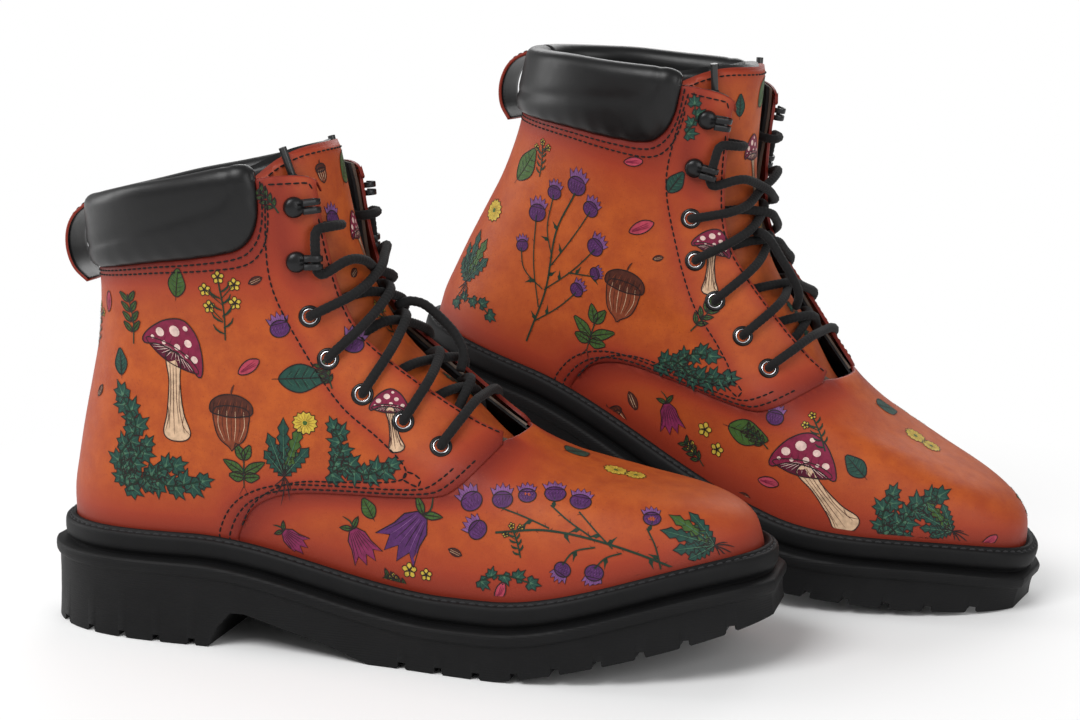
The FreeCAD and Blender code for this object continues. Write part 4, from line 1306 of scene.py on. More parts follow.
def braided_tube(path):
    """Round cord with a raised braid; gives points and faces."""
    around = BRAID_SIDES
    run = np.concatenate([[0.0], np.cumsum(np.linalg.norm(np.diff(path, axis=0), axis=1))])
    count = max(4, int(run[-1] / BRAID_PITCH))
    path = resample(path, count)
    for _ in range(2):
        path[1:-1] = (path[:-2] + path[1:-1] * 2 + path[2:]) / 4
    ahead = np.gradient(path, axis=0)
    ahead /= np.linalg.norm(ahead, axis=1)[:, None]
    side = np.cross(ahead[0], (0.0, 0.0, 1.0))
    if np.linalg.norm(side) < 0.1:
        side = np.cross(ahead[0], (1.0, 0.0, 0.0))
    angles = 2 * PI * np.arange(around) / around
    rings = []
    for k in range(count):
        side = side - ahead[k] * (side @ ahead[k])
        side /= np.linalg.norm(side)
        other = np.cross(ahead[k], side)
        crossed = np.sin(angles * 4.5 + k * 0.95) * np.sin(angles * 4.5 - k * 0.95)
        size = LACE_RADIUS + BRAID_RELIEF * (crossed * 1.6 - 0.3)
        if k in (0, count - 1):
            size = size * 0.7
        rings.append(path[k] + size[:, None] * (np.cos(angles)[:, None] * side + np.sin(angles)[:,
            None] * other))
    coords = np.vstack(rings)
    faces = grid_faces(count, around, closed_columns=True)
    start = len(coords)
    coords = np.vstack([coords, path[:1], path[-1:]])
    for j in range(around):
        k = (j + 1) % around
        faces.append((start, k, j))
        faces.append((start + 1, (count - 1) * around + j, (count - 1) * around + k))
    return coords, faces


def make_lace(boot):
    outer = half_lace(1, True)
    inner = half_lace(-1, False)
    coords, faces = braided_tube(rounded(outer[::-1] + inner))
    piece = boot.mesh("braided_lace", coords, faces, [LACE_CLOTH], slot="lace_cord")
    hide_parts(boot.node("lace"))
    steps = ((0.806, 0.30, -6.5), (0.803, 0.335, -1.2), (0.785, 0.355, 3.6), (0.75, 0.36, 5.6),
             (0.712, 0.33, 5.2),
             (0.685, 0.27, 1.8), (0.675, 0.22, -5.0))
    tail = [skin(level, PI + turn, height)[0] for level, turn, height in steps]
    coords, faces = braided_tube(rounded(tail))
    piece = boot.mesh("braided_tail", coords, faces, [LACE_CLOTH], slot="lace_cord")
    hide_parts(boot.node("lace_tail"))


# ------------------------------------------------------------------ eyelets, hooks, rivets
FLANGE_PROFILE = ((4.35, 0.05), (4.4, 0.5), (4.25, 0.9), (3.9, 1.2), (3.5, 1.3), (3.15, 1.15), (2.95, 0.95))
BARREL_PROFILE = ((3.0, 1.0), (2.8, 1.12), (2.6, 1.05), (2.42, 0.8), (2.34, 0.4), (2.3, -0.4), (2.3, -3.9))
RIVET_PROFILE = ((3.95, 1.4), (4.0, 2.0), (3.8, 2.6), (3.2, 3.1), (2.3, 3.5), (1.2, 3.72), (0.05, 3.78))


LATHE_SIDES = 32


def lathe(profile, place):
    """A profile (radius, height) turned round the axis of a place."""
    angles = 2 * PI * np.arange(LATHE_SIDES) / LATHE_SIDES
    coords = []
    for radius, height in profile:
        for a in angles:
            coords.append(place((radius * math.cos(a), radius * math.sin(a), height)))
    return np.array(coords), grid_faces(len(profile), LATHE_SIDES, closed_columns=True)


def hook_rib(place, y_low, y_high):
    """One rib of a lace hook: out along the leather, round the throat and back over it."""
    middle = 3.9
    path = [(-1.5, 1.05), (2.0, 1.1), (6.6, 1.05)]
    path += [(6.6 + 2.85 * math.sin(a), middle - 2.85 * math.cos(a)) for a in np.linspace(0.25, PI, 12)]
    path += [(4.6, 6.8), (2.9, 6.95), (2.2, 7.15)]
    path = np.array(path)
    ahead = np.gradient(path, axis=0)
    ahead /= np.linalg.norm(ahead, axis=1)[:, None]
    normal = np.stack([-ahead[:, 1], ahead[:, 0]], axis=1)
    half = (y_high - y_low) / 2
    y_middle = (y_high + y_low) / 2
    section = ((0.5, -0.6), (0.5, 0.6), (0.32, 0.92), (-0.32, 0.92), (-0.5, 0.6), (-0.5, -0.6),
               (-0.32, -0.92),
               (0.32, -0.92))
    coords = []
    for p, n in zip(path, normal):
        for thick, wide in section:
            q = p + n * thick
            coords.append(place((q[0], y_middle + wide * half / 0.92, q[1])))
    rows = len(path)
    faces = grid_faces(rows, len(section), closed_columns=True)
    faces.append(tuple(range(len(section)))[::-1])
    faces.append(tuple((rows - 1) * len(section) + k for k in range(len(section))))
    return np.array(coords), faces


def make_hardware(boot):
    flanges = []
    barrels = []
    for side in SIDES:
        for place in EYELETS:
            here = spot(place, side)
            flanges.append(lathe(FLANGE_PROFILE, here))
            barrels.append(lathe(BARREL_PROFILE, here))
    coords, faces = joined(flanges)
    piece = boot.mesh("eyelet_flanges", coords, faces, [BLACK_METAL], slot="black_metal")
    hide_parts(boot.node("eyelets"))
    coords, faces = joined(barrels)
    boot.mesh("eyelet_barrels", coords, faces, [BRIGHT_METAL], slot="black_metal")
    ribs = []
    heads = []
    for side in SIDES:
        for place in HOOKS:
            here = spot(place, side)
            ribs.append(hook_rib(here, -2.75, -0.45))
            ribs.append(hook_rib(here, 0.45, 2.75))
            ribs.append(lathe(((3.9, 0.05), (4.15, 0.5), (3.95, 1.45), (0.05, 1.5)), here))
            heads.append(lathe(RIVET_PROFILE, here))
    coords, faces = joined(ribs)
    piece = boot.mesh("speed_hooks", coords, faces, [BLACK_METAL], slot="black_metal")
    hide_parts(boot.node("lace_hooks"))
    sharpen(piece, 50.0)
    coords, faces = joined(heads)
    piece = boot.mesh("hook_domes", coords, faces, [BLACK_METAL], slot="black_metal")
    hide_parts(boot.node("hook_rivets"))


# ------------------------------------------------------------------ pull loop
LOOP_INSIDE = ((19.6, 169), (14.4, 164.5), (11.5, 158.5), (11.3, 151), (14.0, 144), (19.4, 139))


def make_loop(boot):
    path = smooth_line(LOOP_INSIDE, 44)
    ahead = np.gradient(path, axis=0)
    ahead /= np.linalg.norm(ahead, axis=1)[:, None]
    back = np.stack([ahead[:, 1], -ahead[:, 0]], axis=1)
    section = [(0.0, y) for y in (-8.2, -6, -3, 0, 3, 6, 8.2)] + [(0.25, 8.5), (0.85, 8.6), (1.45, 8.4)]
    section += [(1.75 - 0.12 * abs(y) / 6, y) for y in (7.6, 5, 2.5, 0, -2.5, -5, -7.6)]
    section += [(1.45, -8.4), (0.85, -8.6), (0.25, -8.5)]
    coords = []
    for p, n in zip(path, back):
        for out, y in section:
            q = p + n * out
            coords.append((q[0], y, q[1]))
    count = len(section)
    faces = grid_faces(len(path), count, closed_columns=True)
    indices = [1 if k % count < 6 or k % count in (count - 1, ) else 0 for k in range(len(faces))]
    faces.append(tuple(range(count))[::-1])
    faces.append(tuple((len(path) - 1) * count + k for k in range(count)))
    indices += [0, 0]
    # Painted shade: a deep red at the loop's edges and a lighter one over the rest.
    shade = [0.8 if abs(y) > 7 else 0.35 for _ in path for _, y in section]
    piece = boot.mesh("heel_loop", coords, faces, [LEATHER, BLACK_LEATHER], indices=indices, shade=shade,
                      slot="printed_leather")
    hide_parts(boot.node("pull_loop"))
    lines = []
    for y in (-6.6, 6.6):
        points = np.stack([path[:, 0] + back[:, 0] * 1.7, np.full(len(path), y),
                           path[:, 1] + back[:, 1] * 1.7], axis=1)
        normals = np.stack([back[:, 0], np.zeros(len(path)), back[:, 1]], axis=1)
        lines.append(stitches(points, normals))
    coords, faces = joined(lines)
    boot.mesh("loop_seam", coords, faces, [THREAD], slot="lace_cord")


# ------------------------------------------------------------------ pieces that keep their CAD shape
INNER_NODES = {
    "shank": STEEL, "insole_board": BOARD, "footbed": FOOTBED, "eyestay_lateral": REINFORCEMENT,
    "eyestay_medial": REINFORCEMENT, "toe_puff": SHELL, "heel_counter": SHELL, "vamp_lining": LINING,
    "quarter_lining": LINING, "eyelet_washers": BLACK_METAL, "lace_tips": TIP,
}


def finish_inside(boot):
    for name, material in INNER_NODES.items():
        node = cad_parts[boot.node(name)]
        node.data.materials.clear()
        node.data.materials.append(material)


# ------------------------------------------------------------------ print: inks and strokes
INKS = {
    "outline": (0.022, 0.012, 0.012), "magenta": (0.20, 0.012, 0.045), "magenta_dark": (0.085, 0.006, 0.022),
    "cream": (0.62, 0.42, 0.27), "dots": (0.72, 0.52, 0.46), "brown": (0.20, 0.045, 0.018),
    "brown_dark": (0.075, 0.020, 0.012), "green": (0.050, 0.105, 0.022), "green_dark": (0.010, 0.032, 0.018),
    "teal": (0.016, 0.060, 0.045), "teal_light": (0.060, 0.150, 0.090), "purple": (0.085, 0.022, 0.110),
    "purple_light": (0.20, 0.080, 0.23), "yellow": (0.56, 0.40, 0.050), "pink": (0.42, 0.050, 0.085),
    "bell": (0.22, 0.022, 0.085),
}
INK_NAMES = list(INKS)
FILL_RISE = 0.10
DETAIL_RISE = 0.17
LINE_RISE = 0.24


class Sketch:
    """A flat drawing: filled outlines and strokes in millimetres, moved by the current frame."""

    def __init__(self):
        self.parts = []
        self.frame = (0.0, 0.0, 0.0, 1.0)

    def moved(self, x, y, angle=0.0, scale=1.0):
        """The same drawing with its origin moved, turned (degrees) and scaled."""
        other = Sketch()
        other.parts = self.parts
        ox, oy, turn, size = self.frame
        a = math.radians(turn)
        other.frame = (ox + size * (x * math.cos(a) - y * math.sin(a)),
                       oy + size * (x * math.sin(a) + y * math.cos(a)), turn + angle, size * scale)
        return other

    def put(self, points):
        ox, oy, turn, size = self.frame
        a = math.radians(turn)
        points = np.asarray(points, float) * size
        return np.stack([ox + points[:, 0] * math.cos(a) - points[:, 1] * math.sin(a),
                         oy + points[:, 0] * math.sin(a) + points[:, 1] * math.cos(a)], axis=1)

    def fill(self, ink_name, points, outline=0.0, rise=FILL_RISE, smooth=True, count=0):
        size = self.frame[3]
        if smooth:
            length = np.sum(np.linalg.norm(np.diff(np.asarray(points, float), axis=0), axis=1)) * size
            count = count or int(np.clip(length / 1.1, 10, 64))
            line = smooth_line(points, count + 1, closed=True)[:-1]
        else:
            line = np.asarray(points, float)
        line = self.put(line)
        coords, faces = fill_outline(line, 3.5)
        self.parts.append((coords, faces, ink_name, rise))
        if outline:
            self.ribbon(np.vstack([line, line[:1]]), outline, "outline", LINE_RISE, taper=False)

    def ribbon(self, line, width, ink_name, rise, taper=True):
        ahead = np.gradient(line, axis=0)
        side = np.stack([-ahead[:, 1], ahead[:, 0]], axis=1)
        side /= np.maximum(np.linalg.norm(side, axis=1)[:, None], 1e-9)
        along = np.linspace(0, 1, len(line))
        half = np.full(len(line), width / 2)
        if taper:
            half = half * (0.25 + 0.75 * np.sin(PI * np.clip(along * 0.9 + 0.08, 0, 1)))
        coords = np.vstack([line + side * half[:, None], line - side * half[:, None]])
        count = len(line)
        faces = [(k, k + count, k + count + 1, k + 1) for k in range(count - 1)]
        self.parts.append((coords, faces, ink_name, rise))

    def stroke(self, points, width=0.45, ink_name="outline", rise=LINE_RISE, taper=True):
        points = np.asarray(points, float)
        length = np.sum(np.linalg.norm(np.diff(points, axis=0), axis=1)) * self.frame[3]
        if len(points) > 2:
            points = smooth_line(points, max(4, int(length / 1.3)))
        else:
            points = resample(points, max(2, int(length / 2.2) + 1))
        self.ribbon(self.put(points), width, ink_name, rise, taper)


# ------------------------------------------------------------------ print: generic plants
def leaf(s, length, width, ink_name="green", veins=4):
    """A pointed leaf growing along +x from its stalk."""
    s.fill(ink_name, [(0, 0), (0.18 * length, 0.36 * width), (0.45 * length, 0.5 * width),
                      (0.75 * length, 0.3 * width),
                      (length, 0), (0.75 * length, -0.3 * width), (0.45 * length, -0.5 * width),
                      (0.18 * length, -0.36 * width)], outline=0.42)
    s.stroke([(-0.14 * length, 0), (0.92 * length, 0)], 0.4)
    for k in range(veins):
        x = length * (0.14 + 0.66 * k / veins)
        reach = width * 0.4 * math.sin(PI * (0.22 + 0.6 * k / veins))
        for sign in (1, -1):
            s.stroke([(x, 0), (x + 0.13 * length, sign * reach)], 0.26)
            s.stroke([(x + 0.07 * length, 0.1 * sign * width), (x + 0.16 * length, sign * reach * 0.85)],
                     0.34, "teal_light",
                     DETAIL_RISE)


def mushroom(s, size, lean=-24):
    """Spotted cap over a striped stem; the cap is about size wide."""
    stem = [(-0.10, 0.02), (0.11, 0.02), (0.10, -0.35), (0.15, -0.75), (0.24, -1.02), (0.16, -1.12),
            (-0.06, -1.12),
            (-0.16, -1.02), (-0.10, -0.75), (-0.07, -0.35)]
    stem = [(x * size, y * size) for x, y in stem]
    s.fill("cream", stem, outline=0.45)
    for x, top, low in ((-0.05, -0.05, -0.96), (0.0, -0.12, -1.04), (0.05, -0.02, -0.9), (0.10, -0.3, -1.02),
                        (-0.09, -0.62, -1.0), (0.15, -0.8, -1.04)):
        s.stroke([(x * size, top * size), (x * size * 0.85, (top + low) / 2 * size),
                  (x * size * 1.5, low * size)],
                 0.28, "brown_dark")
    c = s.moved(0, 0, lean, size)
    under = [(-0.47, 0.0), (-0.2, -0.09), (0.1, -0.1), (0.45, -0.02), (0.3, 0.08), (0.0, 0.12), (-0.3, 0.08)]
    c.fill("magenta_dark", under, outline=0.4)
    for k in range(11):
        x = -0.4 + 0.8 * k / 10
        c.stroke([(x * 0.25, 0.08), (x, -0.06 + 0.04 * abs(x))], 0.26, "dots", DETAIL_RISE)
    dome = [(-0.52, -0.02), (-0.46, 0.16), (-0.27, 0.40), (-0.02, 0.53), (0.22, 0.44), (0.42, 0.2),
            (0.51, -0.02),
            (0.46, -0.06), (0.25, 0.03), (0.0, 0.06), (-0.25, 0.03), (-0.46, -0.07)]
    c.fill("magenta", dome, outline=0.5, rise=FILL_RISE + 0.03)
    for k in range(9):
        x = -0.42 + 0.84 * k / 8
        top = 0.42 * (1 - (x / 0.55) ** 2)
        c.stroke([(x, 0.05 + 0.02 * math.sin(k * 5)), (x * 0.94, 0.05 + top * 0.42)], 0.26, "magenta_dark",
                 DETAIL_RISE)
    for x, y, r in ((-0.3, 0.19, 0.07), (-0.1, 0.32, 0.085), (0.15, 0.27, 0.06), (0.32, 0.12, 0.055),
                    (0.02, 0.14, 0.05),
                    (-0.19, 0.09, 0.032), (0.2, 0.1, 0.03), (0.04, 0.44, 0.04), (-0.38, 0.07, 0.03)):
        spot_round = [(x + r * math.cos(a), y + r * 0.85 * math.sin(a)) for a in np.linspace(0, 2 * PI,
            9)[:-1]]
        c.fill("dots", spot_round, rise=DETAIL_RISE + 0.02, count=12)


def acorn(s, size):
    """Nut under a hatched cup; size is its height."""
    w = 0.30
    nut = [(-w, 0.1), (-w * 1.02, -0.12), (-w * 0.75, -0.36), (-0.05, -0.50), (0.0, -0.56), (0.05, -0.50),
           (w * 0.75, -0.36), (w * 1.02, -0.12), (w, 0.1), (0, 0.16)]
    c = s.moved(0, 0, 0, size)
    c.fill("brown", nut, outline=0.45)
    for k in range(7):
        x = -0.22 + 0.44 * k / 6
        c.stroke([(x, 0.08), (x * 1.05, -0.16), (x * 0.6, -0.4)], 0.26, "brown_dark" if k % 2 else "cream",
                 DETAIL_RISE)
    cup = [(-0.37, 0.05), (-0.36, 0.2), (-0.2, 0.31), (0, 0.34), (0.2, 0.31), (0.36, 0.2), (0.37, 0.05),
           (0.2, 0.0),
           (0, -0.02), (-0.2, 0.0)]
    c.fill("brown_dark", cup, outline=0.5, rise=FILL_RISE + 0.03)
    for k in range(6):
        x = -0.3 + 0.6 * k / 5
        c.stroke([(x, 0.02), (x * 0.8 + 0.06, 0.26)], 0.26, "brown", DETAIL_RISE)
        c.stroke([(x, 0.24), (x * 0.9 - 0.05, 0.03)], 0.22, "outline")
    c.stroke([(0, 0.33), (0.02, 0.42), (0.06, 0.5)], 0.9, "brown_dark")


def petal(s, length):
    """Fallen petal, pointed at its tip along +x."""
    s.fill("pink", [(0, 0), (0.3 * length, 0.2 * length), (0.7 * length, 0.22 * length),
                    (length, 0.02 * length),
                      (0.7 * length, -0.18 * length), (0.3 * length, -0.18 * length)], outline=0.42)
    for y in (-0.07, 0.0, 0.08):
        s.stroke([(0.12 * length, y * length * 0.3), (0.8 * length, y * length)], 0.28, "magenta")


PETALS = 5


def flower(s, radius):
    """Small open flower with a dark eye."""
    for k in range(PETALS):
        p = s.moved(0, 0, 360.0 * k / PETALS + 18)
        p.fill("yellow", [(0, 0), (0.5 * radius, 0.38 * radius), (radius, 0.2 * radius),
                          (radius, -0.2 * radius),
                          (0.5 * radius, -0.38 * radius)], outline=0.3, count=12)
    s.fill("brown_dark", [(0.22 * radius * math.cos(a), 0.22 * radius * math.sin(a)) for a in (0, 1.26, 2.5,
        3.8, 5.0)],
           rise=DETAIL_RISE, count=8)


def thistle_head(s, radius):
    """Round spiny head under a tuft."""
    tuft = [(-0.75, 0.3), (-0.95, 0.95), (-0.55, 0.72), (-0.4, 1.25), (-0.1, 0.85), (0.1, 1.35), (0.3, 0.85),
            (0.62, 1.15), (0.62, 0.7), (0.98, 0.8), (0.75, 0.25)]
    c = s.moved(0, 0, 0, radius)
    c.fill("purple_light", tuft, outline=0.3, smooth=False)
    for k in range(8):
        x = -0.7 + 1.4 * k / 7
        c.stroke([(x * 0.7, 0.3), (x, 1.0)], 0.26, "purple", DETAIL_RISE)
    ball = [(0.85 * math.cos(a), 0.72 * math.sin(a) - 0.15) for a in np.linspace(0, 2 * PI, 11)[:-1]]
    c.fill("purple", ball, outline=0.42, rise=FILL_RISE + 0.03, count=22)
    for k in range(5):
        x = -0.6 + 1.2 * k / 4
        c.stroke([(x, 0.2 - 0.3 * x * x), (x * 0.5, -0.65)], 0.26, "outline")
        c.stroke([(x * 0.9 - 0.12, -0.1), (x * 0.9, 0.06)], 0.3, "purple_light", LINE_RISE + 0.02)
        c.stroke([(x * 0.9 - 0.08, -0.42), (x * 0.8, -0.26)], 0.26, "purple_light", LINE_RISE + 0.02)


def thorn_stem(s, points, thorns=9, width=0.7):
    """Stem with small thorns and narrow leaves on alternate sides."""
    line = smooth_line(points, 60)
    s.stroke(points, width, "green_dark", taper=False)
    for k in range(thorns):
        i = int(4 + (len(line) - 9) * k / max(thorns - 1, 1))
        ahead = line[i + 1] - line[i]
        angle = math.degrees(math.atan2(ahead[1], ahead[0])) + (52 if k % 2 else -52)
        p = s.moved(line[i][0], line[i][1], angle)
        if k % 3 == 1:
            p.fill("green_dark", [(0, 0.3), (1.6, 0.9), (2.2, 0.4), (4.6, 0.1), (2.4, -0.5), (1.4, -0.9),
                                  (0, -0.3)],
                   smooth=False)
        else:
            p.stroke([(0, 0), (1.5, 0.1)], 0.42, "outline")


def thistle_plant(s, height):
    """Branched thistle, upright from its foot at the origin."""
    h = height
    thorn_stem(s, [(0, 0), (0.02 * h, 0.3 * h), (-0.02 * h, 0.62 * h), (0.03 * h, 0.86 * h)], 10, 0.85)
    branches = (
        ((0.01, 0.2), (-0.10, 0.42), (-0.17, 0.66)), ((0.01, 0.3), (0.14, 0.46), (0.24, 0.62)),
        ((0.0, 0.42), (0.10, 0.66), (0.15, 0.8)), ((0.0, 0.48), (-0.08, 0.62), (-0.10, 0.8)),
        ((0.01, 0.12), (0.12, 0.24), (0.2, 0.36)), ((0.0, 0.3), (-0.14, 0.36), (-0.2, 0.46)),
        ((0.12, 0.44), (0.2, 0.46), (0.28, 0.48)),
    )
    thistle_head(s.moved(0.03 * h, 0.91 * h), 0.070 * h)
    for k, branch in enumerate(branches):
        thorn_stem(s, [(x * h, y * h) for x, y in branch], 5, 0.55)
        end = branch[-1]
        before = branch[-2]
        angle = math.degrees(math.atan2(end[1] - before[1], end[0] - before[0])) - 90
        thistle_head(s.moved(end[0] * h, end[1] * h + 0.02 * h, angle * 0.7), (0.064 - 0.004 * k) * h)


def tooth_leaf(s, length, width, ink_name="teal"):
    """Long leaf with a toothed edge, growing along +x."""
    upper = [(0, 0.1)]
    for k in range(5):
        x = length * (0.14 + 0.17 * k)
        reach = width * (0.3 + 0.22 * math.sin(PI * (k + 0.6) / 5.5))
        upper += [(x, reach), (x + 0.07 * length, reach * 0.5)]
    outline = upper + [(length, 0)] + [(x, -y) for x, y in reversed(upper)]
    s.fill(ink_name, outline, outline=0.35, smooth=False)
    s.stroke([(0, 0), (0.95 * length, 0)], 0.32, "teal_light")
    for k in range(4):
        x = length * (0.16 + 0.17 * k)
        s.stroke([(x, 0), (x + 0.06 * length, width * 0.32)], 0.26, "outline")
        s.stroke([(x, 0), (x + 0.06 * length, -width * 0.32)], 0.26, "outline")


def dandelion(s, size):
    """Rosette flower over toothed leaves and roots; the foot of the leaves is at the origin."""
    for angle, length in ((118, 0.62), (96, 0.8), (76, 0.74), (54, 0.56), (138, 0.44)):
        tooth_leaf(s.moved(0, 0, angle), length * size, 0.2 * size, "teal" if angle != 76 else "green")
    for angle, length in ((-110, 0.3), (-92, 0.42), (-72, 0.34), (-58, 0.22), (-130, 0.2)):
        a = math.radians(angle)
        s.stroke([(0, 0), (0.5 * length * size * math.cos(a) + 0.02 * size,
                           0.5 * length * size * math.sin(a)),
                  (length * size * math.cos(a), length * size * math.sin(a))], 0.5, "outline")


def dandelion_head(s, radius):
    ring = []
    for k in range(26):
        r = radius * (1.0 if k % 2 else 0.82)
        ring.append((r * math.cos(2 * PI * k / 26), r * 0.86 * math.sin(2 * PI * k / 26)))
    s.fill("yellow", ring, outline=0.34, smooth=False)
    for k in range(16):
        a = 2 * PI * k / 16
        s.stroke([(0.25 * radius * math.cos(a), 0.2 * radius * math.sin(a)),
                  (0.78 * radius * math.cos(a), 0.66 * radius * math.sin(a))], 0.3, "brown")
    s.fill("green", [(0.2 * radius * math.cos(a), 0.18 * radius * math.sin(a)) for a in (0.3, 1.6, 2.9, 4.1,
        5.4)],
           rise=DETAIL_RISE, count=8)


def ivy_leaf(s, size):
    lobes = [(0, 0), (-0.3, -0.16), (-0.52, 0.12), (-0.34, 0.3), (-0.42, 0.6), (-0.14, 0.56), (0.0, 0.95),
             (0.14, 0.56),
             (0.42, 0.6), (0.34, 0.3), (0.52, 0.12), (0.3, -0.16)]
    c = s.moved(0, 0, 0, size)
    c.fill("teal", lobes, outline=0.36, smooth=False)
    for x, y in ((0, 0.75), (-0.32, 0.46), (0.32, 0.46), (-0.38, 0.1), (0.38, 0.1)):
        c.stroke([(0, 0.05), (x, y)], 0.34, "teal_light", DETAIL_RISE)
    c.fill("teal_light", [(-0.08, 0.1), (0.0, 0.4), (0.1, 0.12)], rise=DETAIL_RISE, smooth=False)


def ivy(s, points, leaves=9, size=6.5):
    """Ivy runner with leaves to both sides."""
    line = smooth_line(points, 50)
    s.stroke(points, 0.6, "green_dark", taper=False)
    for k in range(leaves):
        i = int(1 + (len(line) - 3) * k / max(leaves - 1, 1))
        ahead = line[i + 1] - line[i]
        angle = math.degrees(math.atan2(ahead[1], ahead[0])) - 90 + (58 if k % 2 else -58) * (k < leaves - 1)
        ivy_leaf(s.moved(line[i][0], line[i][1], angle, 1.0), size * (1.0 - 0.16 * ((k * 7) % 4) / 3))


def sprout(s, size):
    """Low plant with five leaves; its foot is at the origin."""
    s.stroke([(0, -0.25 * size), (0, 0.2 * size), (0.02 * size, 0.55 * size)], 0.7, "green_dark")
    for angle, length, at in ((28, 0.62, 0.1), (152, 0.6, 0.1), (64, 0.42, 0.4), (118, 0.44, 0.4),
                              (8, 0.42, -0.02),
                              (172, 0.4, -0.02)):
        leaf(s.moved(0, at * size, angle), length * size, 0.24 * size, "green", 3)
    for x in (-0.12, 0.1):
        s.stroke([(0, -0.2 * size), (x * size, -0.42 * size)], 0.4)


def sprig(s, height, flowers=5):
    """Thin upright sprig with narrow leaves and small flowers."""
    s.stroke([(0, 0), (0.03 * height, 0.4 * height), (0, 0.9 * height)], 0.6, "green_dark", taper=False)
    for k in range(8):
        y = height * (0.1 + 0.09 * k)
        side = 1 if k % 2 else -1
        s.stroke([(0, y), (side * 0.12 * height, y + 0.06 * height),
                  (side * 0.17 * height, y + 0.15 * height)], 0.9,
                 "green_dark")
    places = ((0, 0.96), (-0.24, 0.78), (0.24, 0.84), (-0.2, 0.52), (0.22, 0.56))
    for x, y in places[:flowers]:
        s.stroke([(0, (y - 0.22) * height), (x * height, y * height)], 0.45, "green_dark")
        flower(s.moved(x * height, y * height), 0.095 * height)


def small_branch(s, height):
    """Branch of plain narrow leaves, for the gaps."""
    s.stroke([(0, 0), (0.05 * height, 0.5 * height), (0, height)], 0.6, "green_dark", taper=False)
    for k in range(4):
        y = height * (0.25 + 0.2 * k)
        for sign in (1, -1):
            leaf(s.moved(0, y, 90 - sign * 48), 0.32 * height, 0.13 * height, "green", 2)


def bellflower(s, size, ink_name="purple"):
    """Hanging bell with pointed petals, opening along -y."""
    c = s.moved(0, 0, 0, size)
    bell = [(-0.12, 0.5), (-0.3, 0.28), (-0.34, 0.0), (-0.5, -0.42), (-0.26, -0.24), (-0.16, -0.56),
            (0.0, -0.28),
            (0.16, -0.56), (0.26, -0.24), (0.5, -0.42), (0.34, 0.0), (0.3, 0.28), (0.12, 0.5)]
    c.fill(ink_name, bell, outline=0.42, smooth=False)
    for k in range(7):
        x = -0.24 + 0.48 * k / 6
        c.stroke([(x * 0.6, 0.42), (x * 1.1, 0.05), (x * 1.6, -0.24)], 0.26,
                 "purple_light" if k % 2 and ink_name == "purple" else "outline", LINE_RISE)
    c.stroke([(0, 0.5), (0.05, 0.7), (-0.1, 0.95)], 0.7, "green_dark")
    for angle in (150, 35):
        leaf(s.moved(0, 0.52 * size, angle), 0.4 * size, 0.16 * size, "green", 2)


def seed(s, size):
    s.fill("brown_dark", [(-0.5 * size, 0), (0, 0.25 * size), (0.5 * size, 0), (0, -0.25 * size)],
           outline=0.35)
    for y in (-0.08, 0.04):
        s.stroke([(-0.35 * size, y * size), (0.35 * size, y * size)], 0.28, "cream")


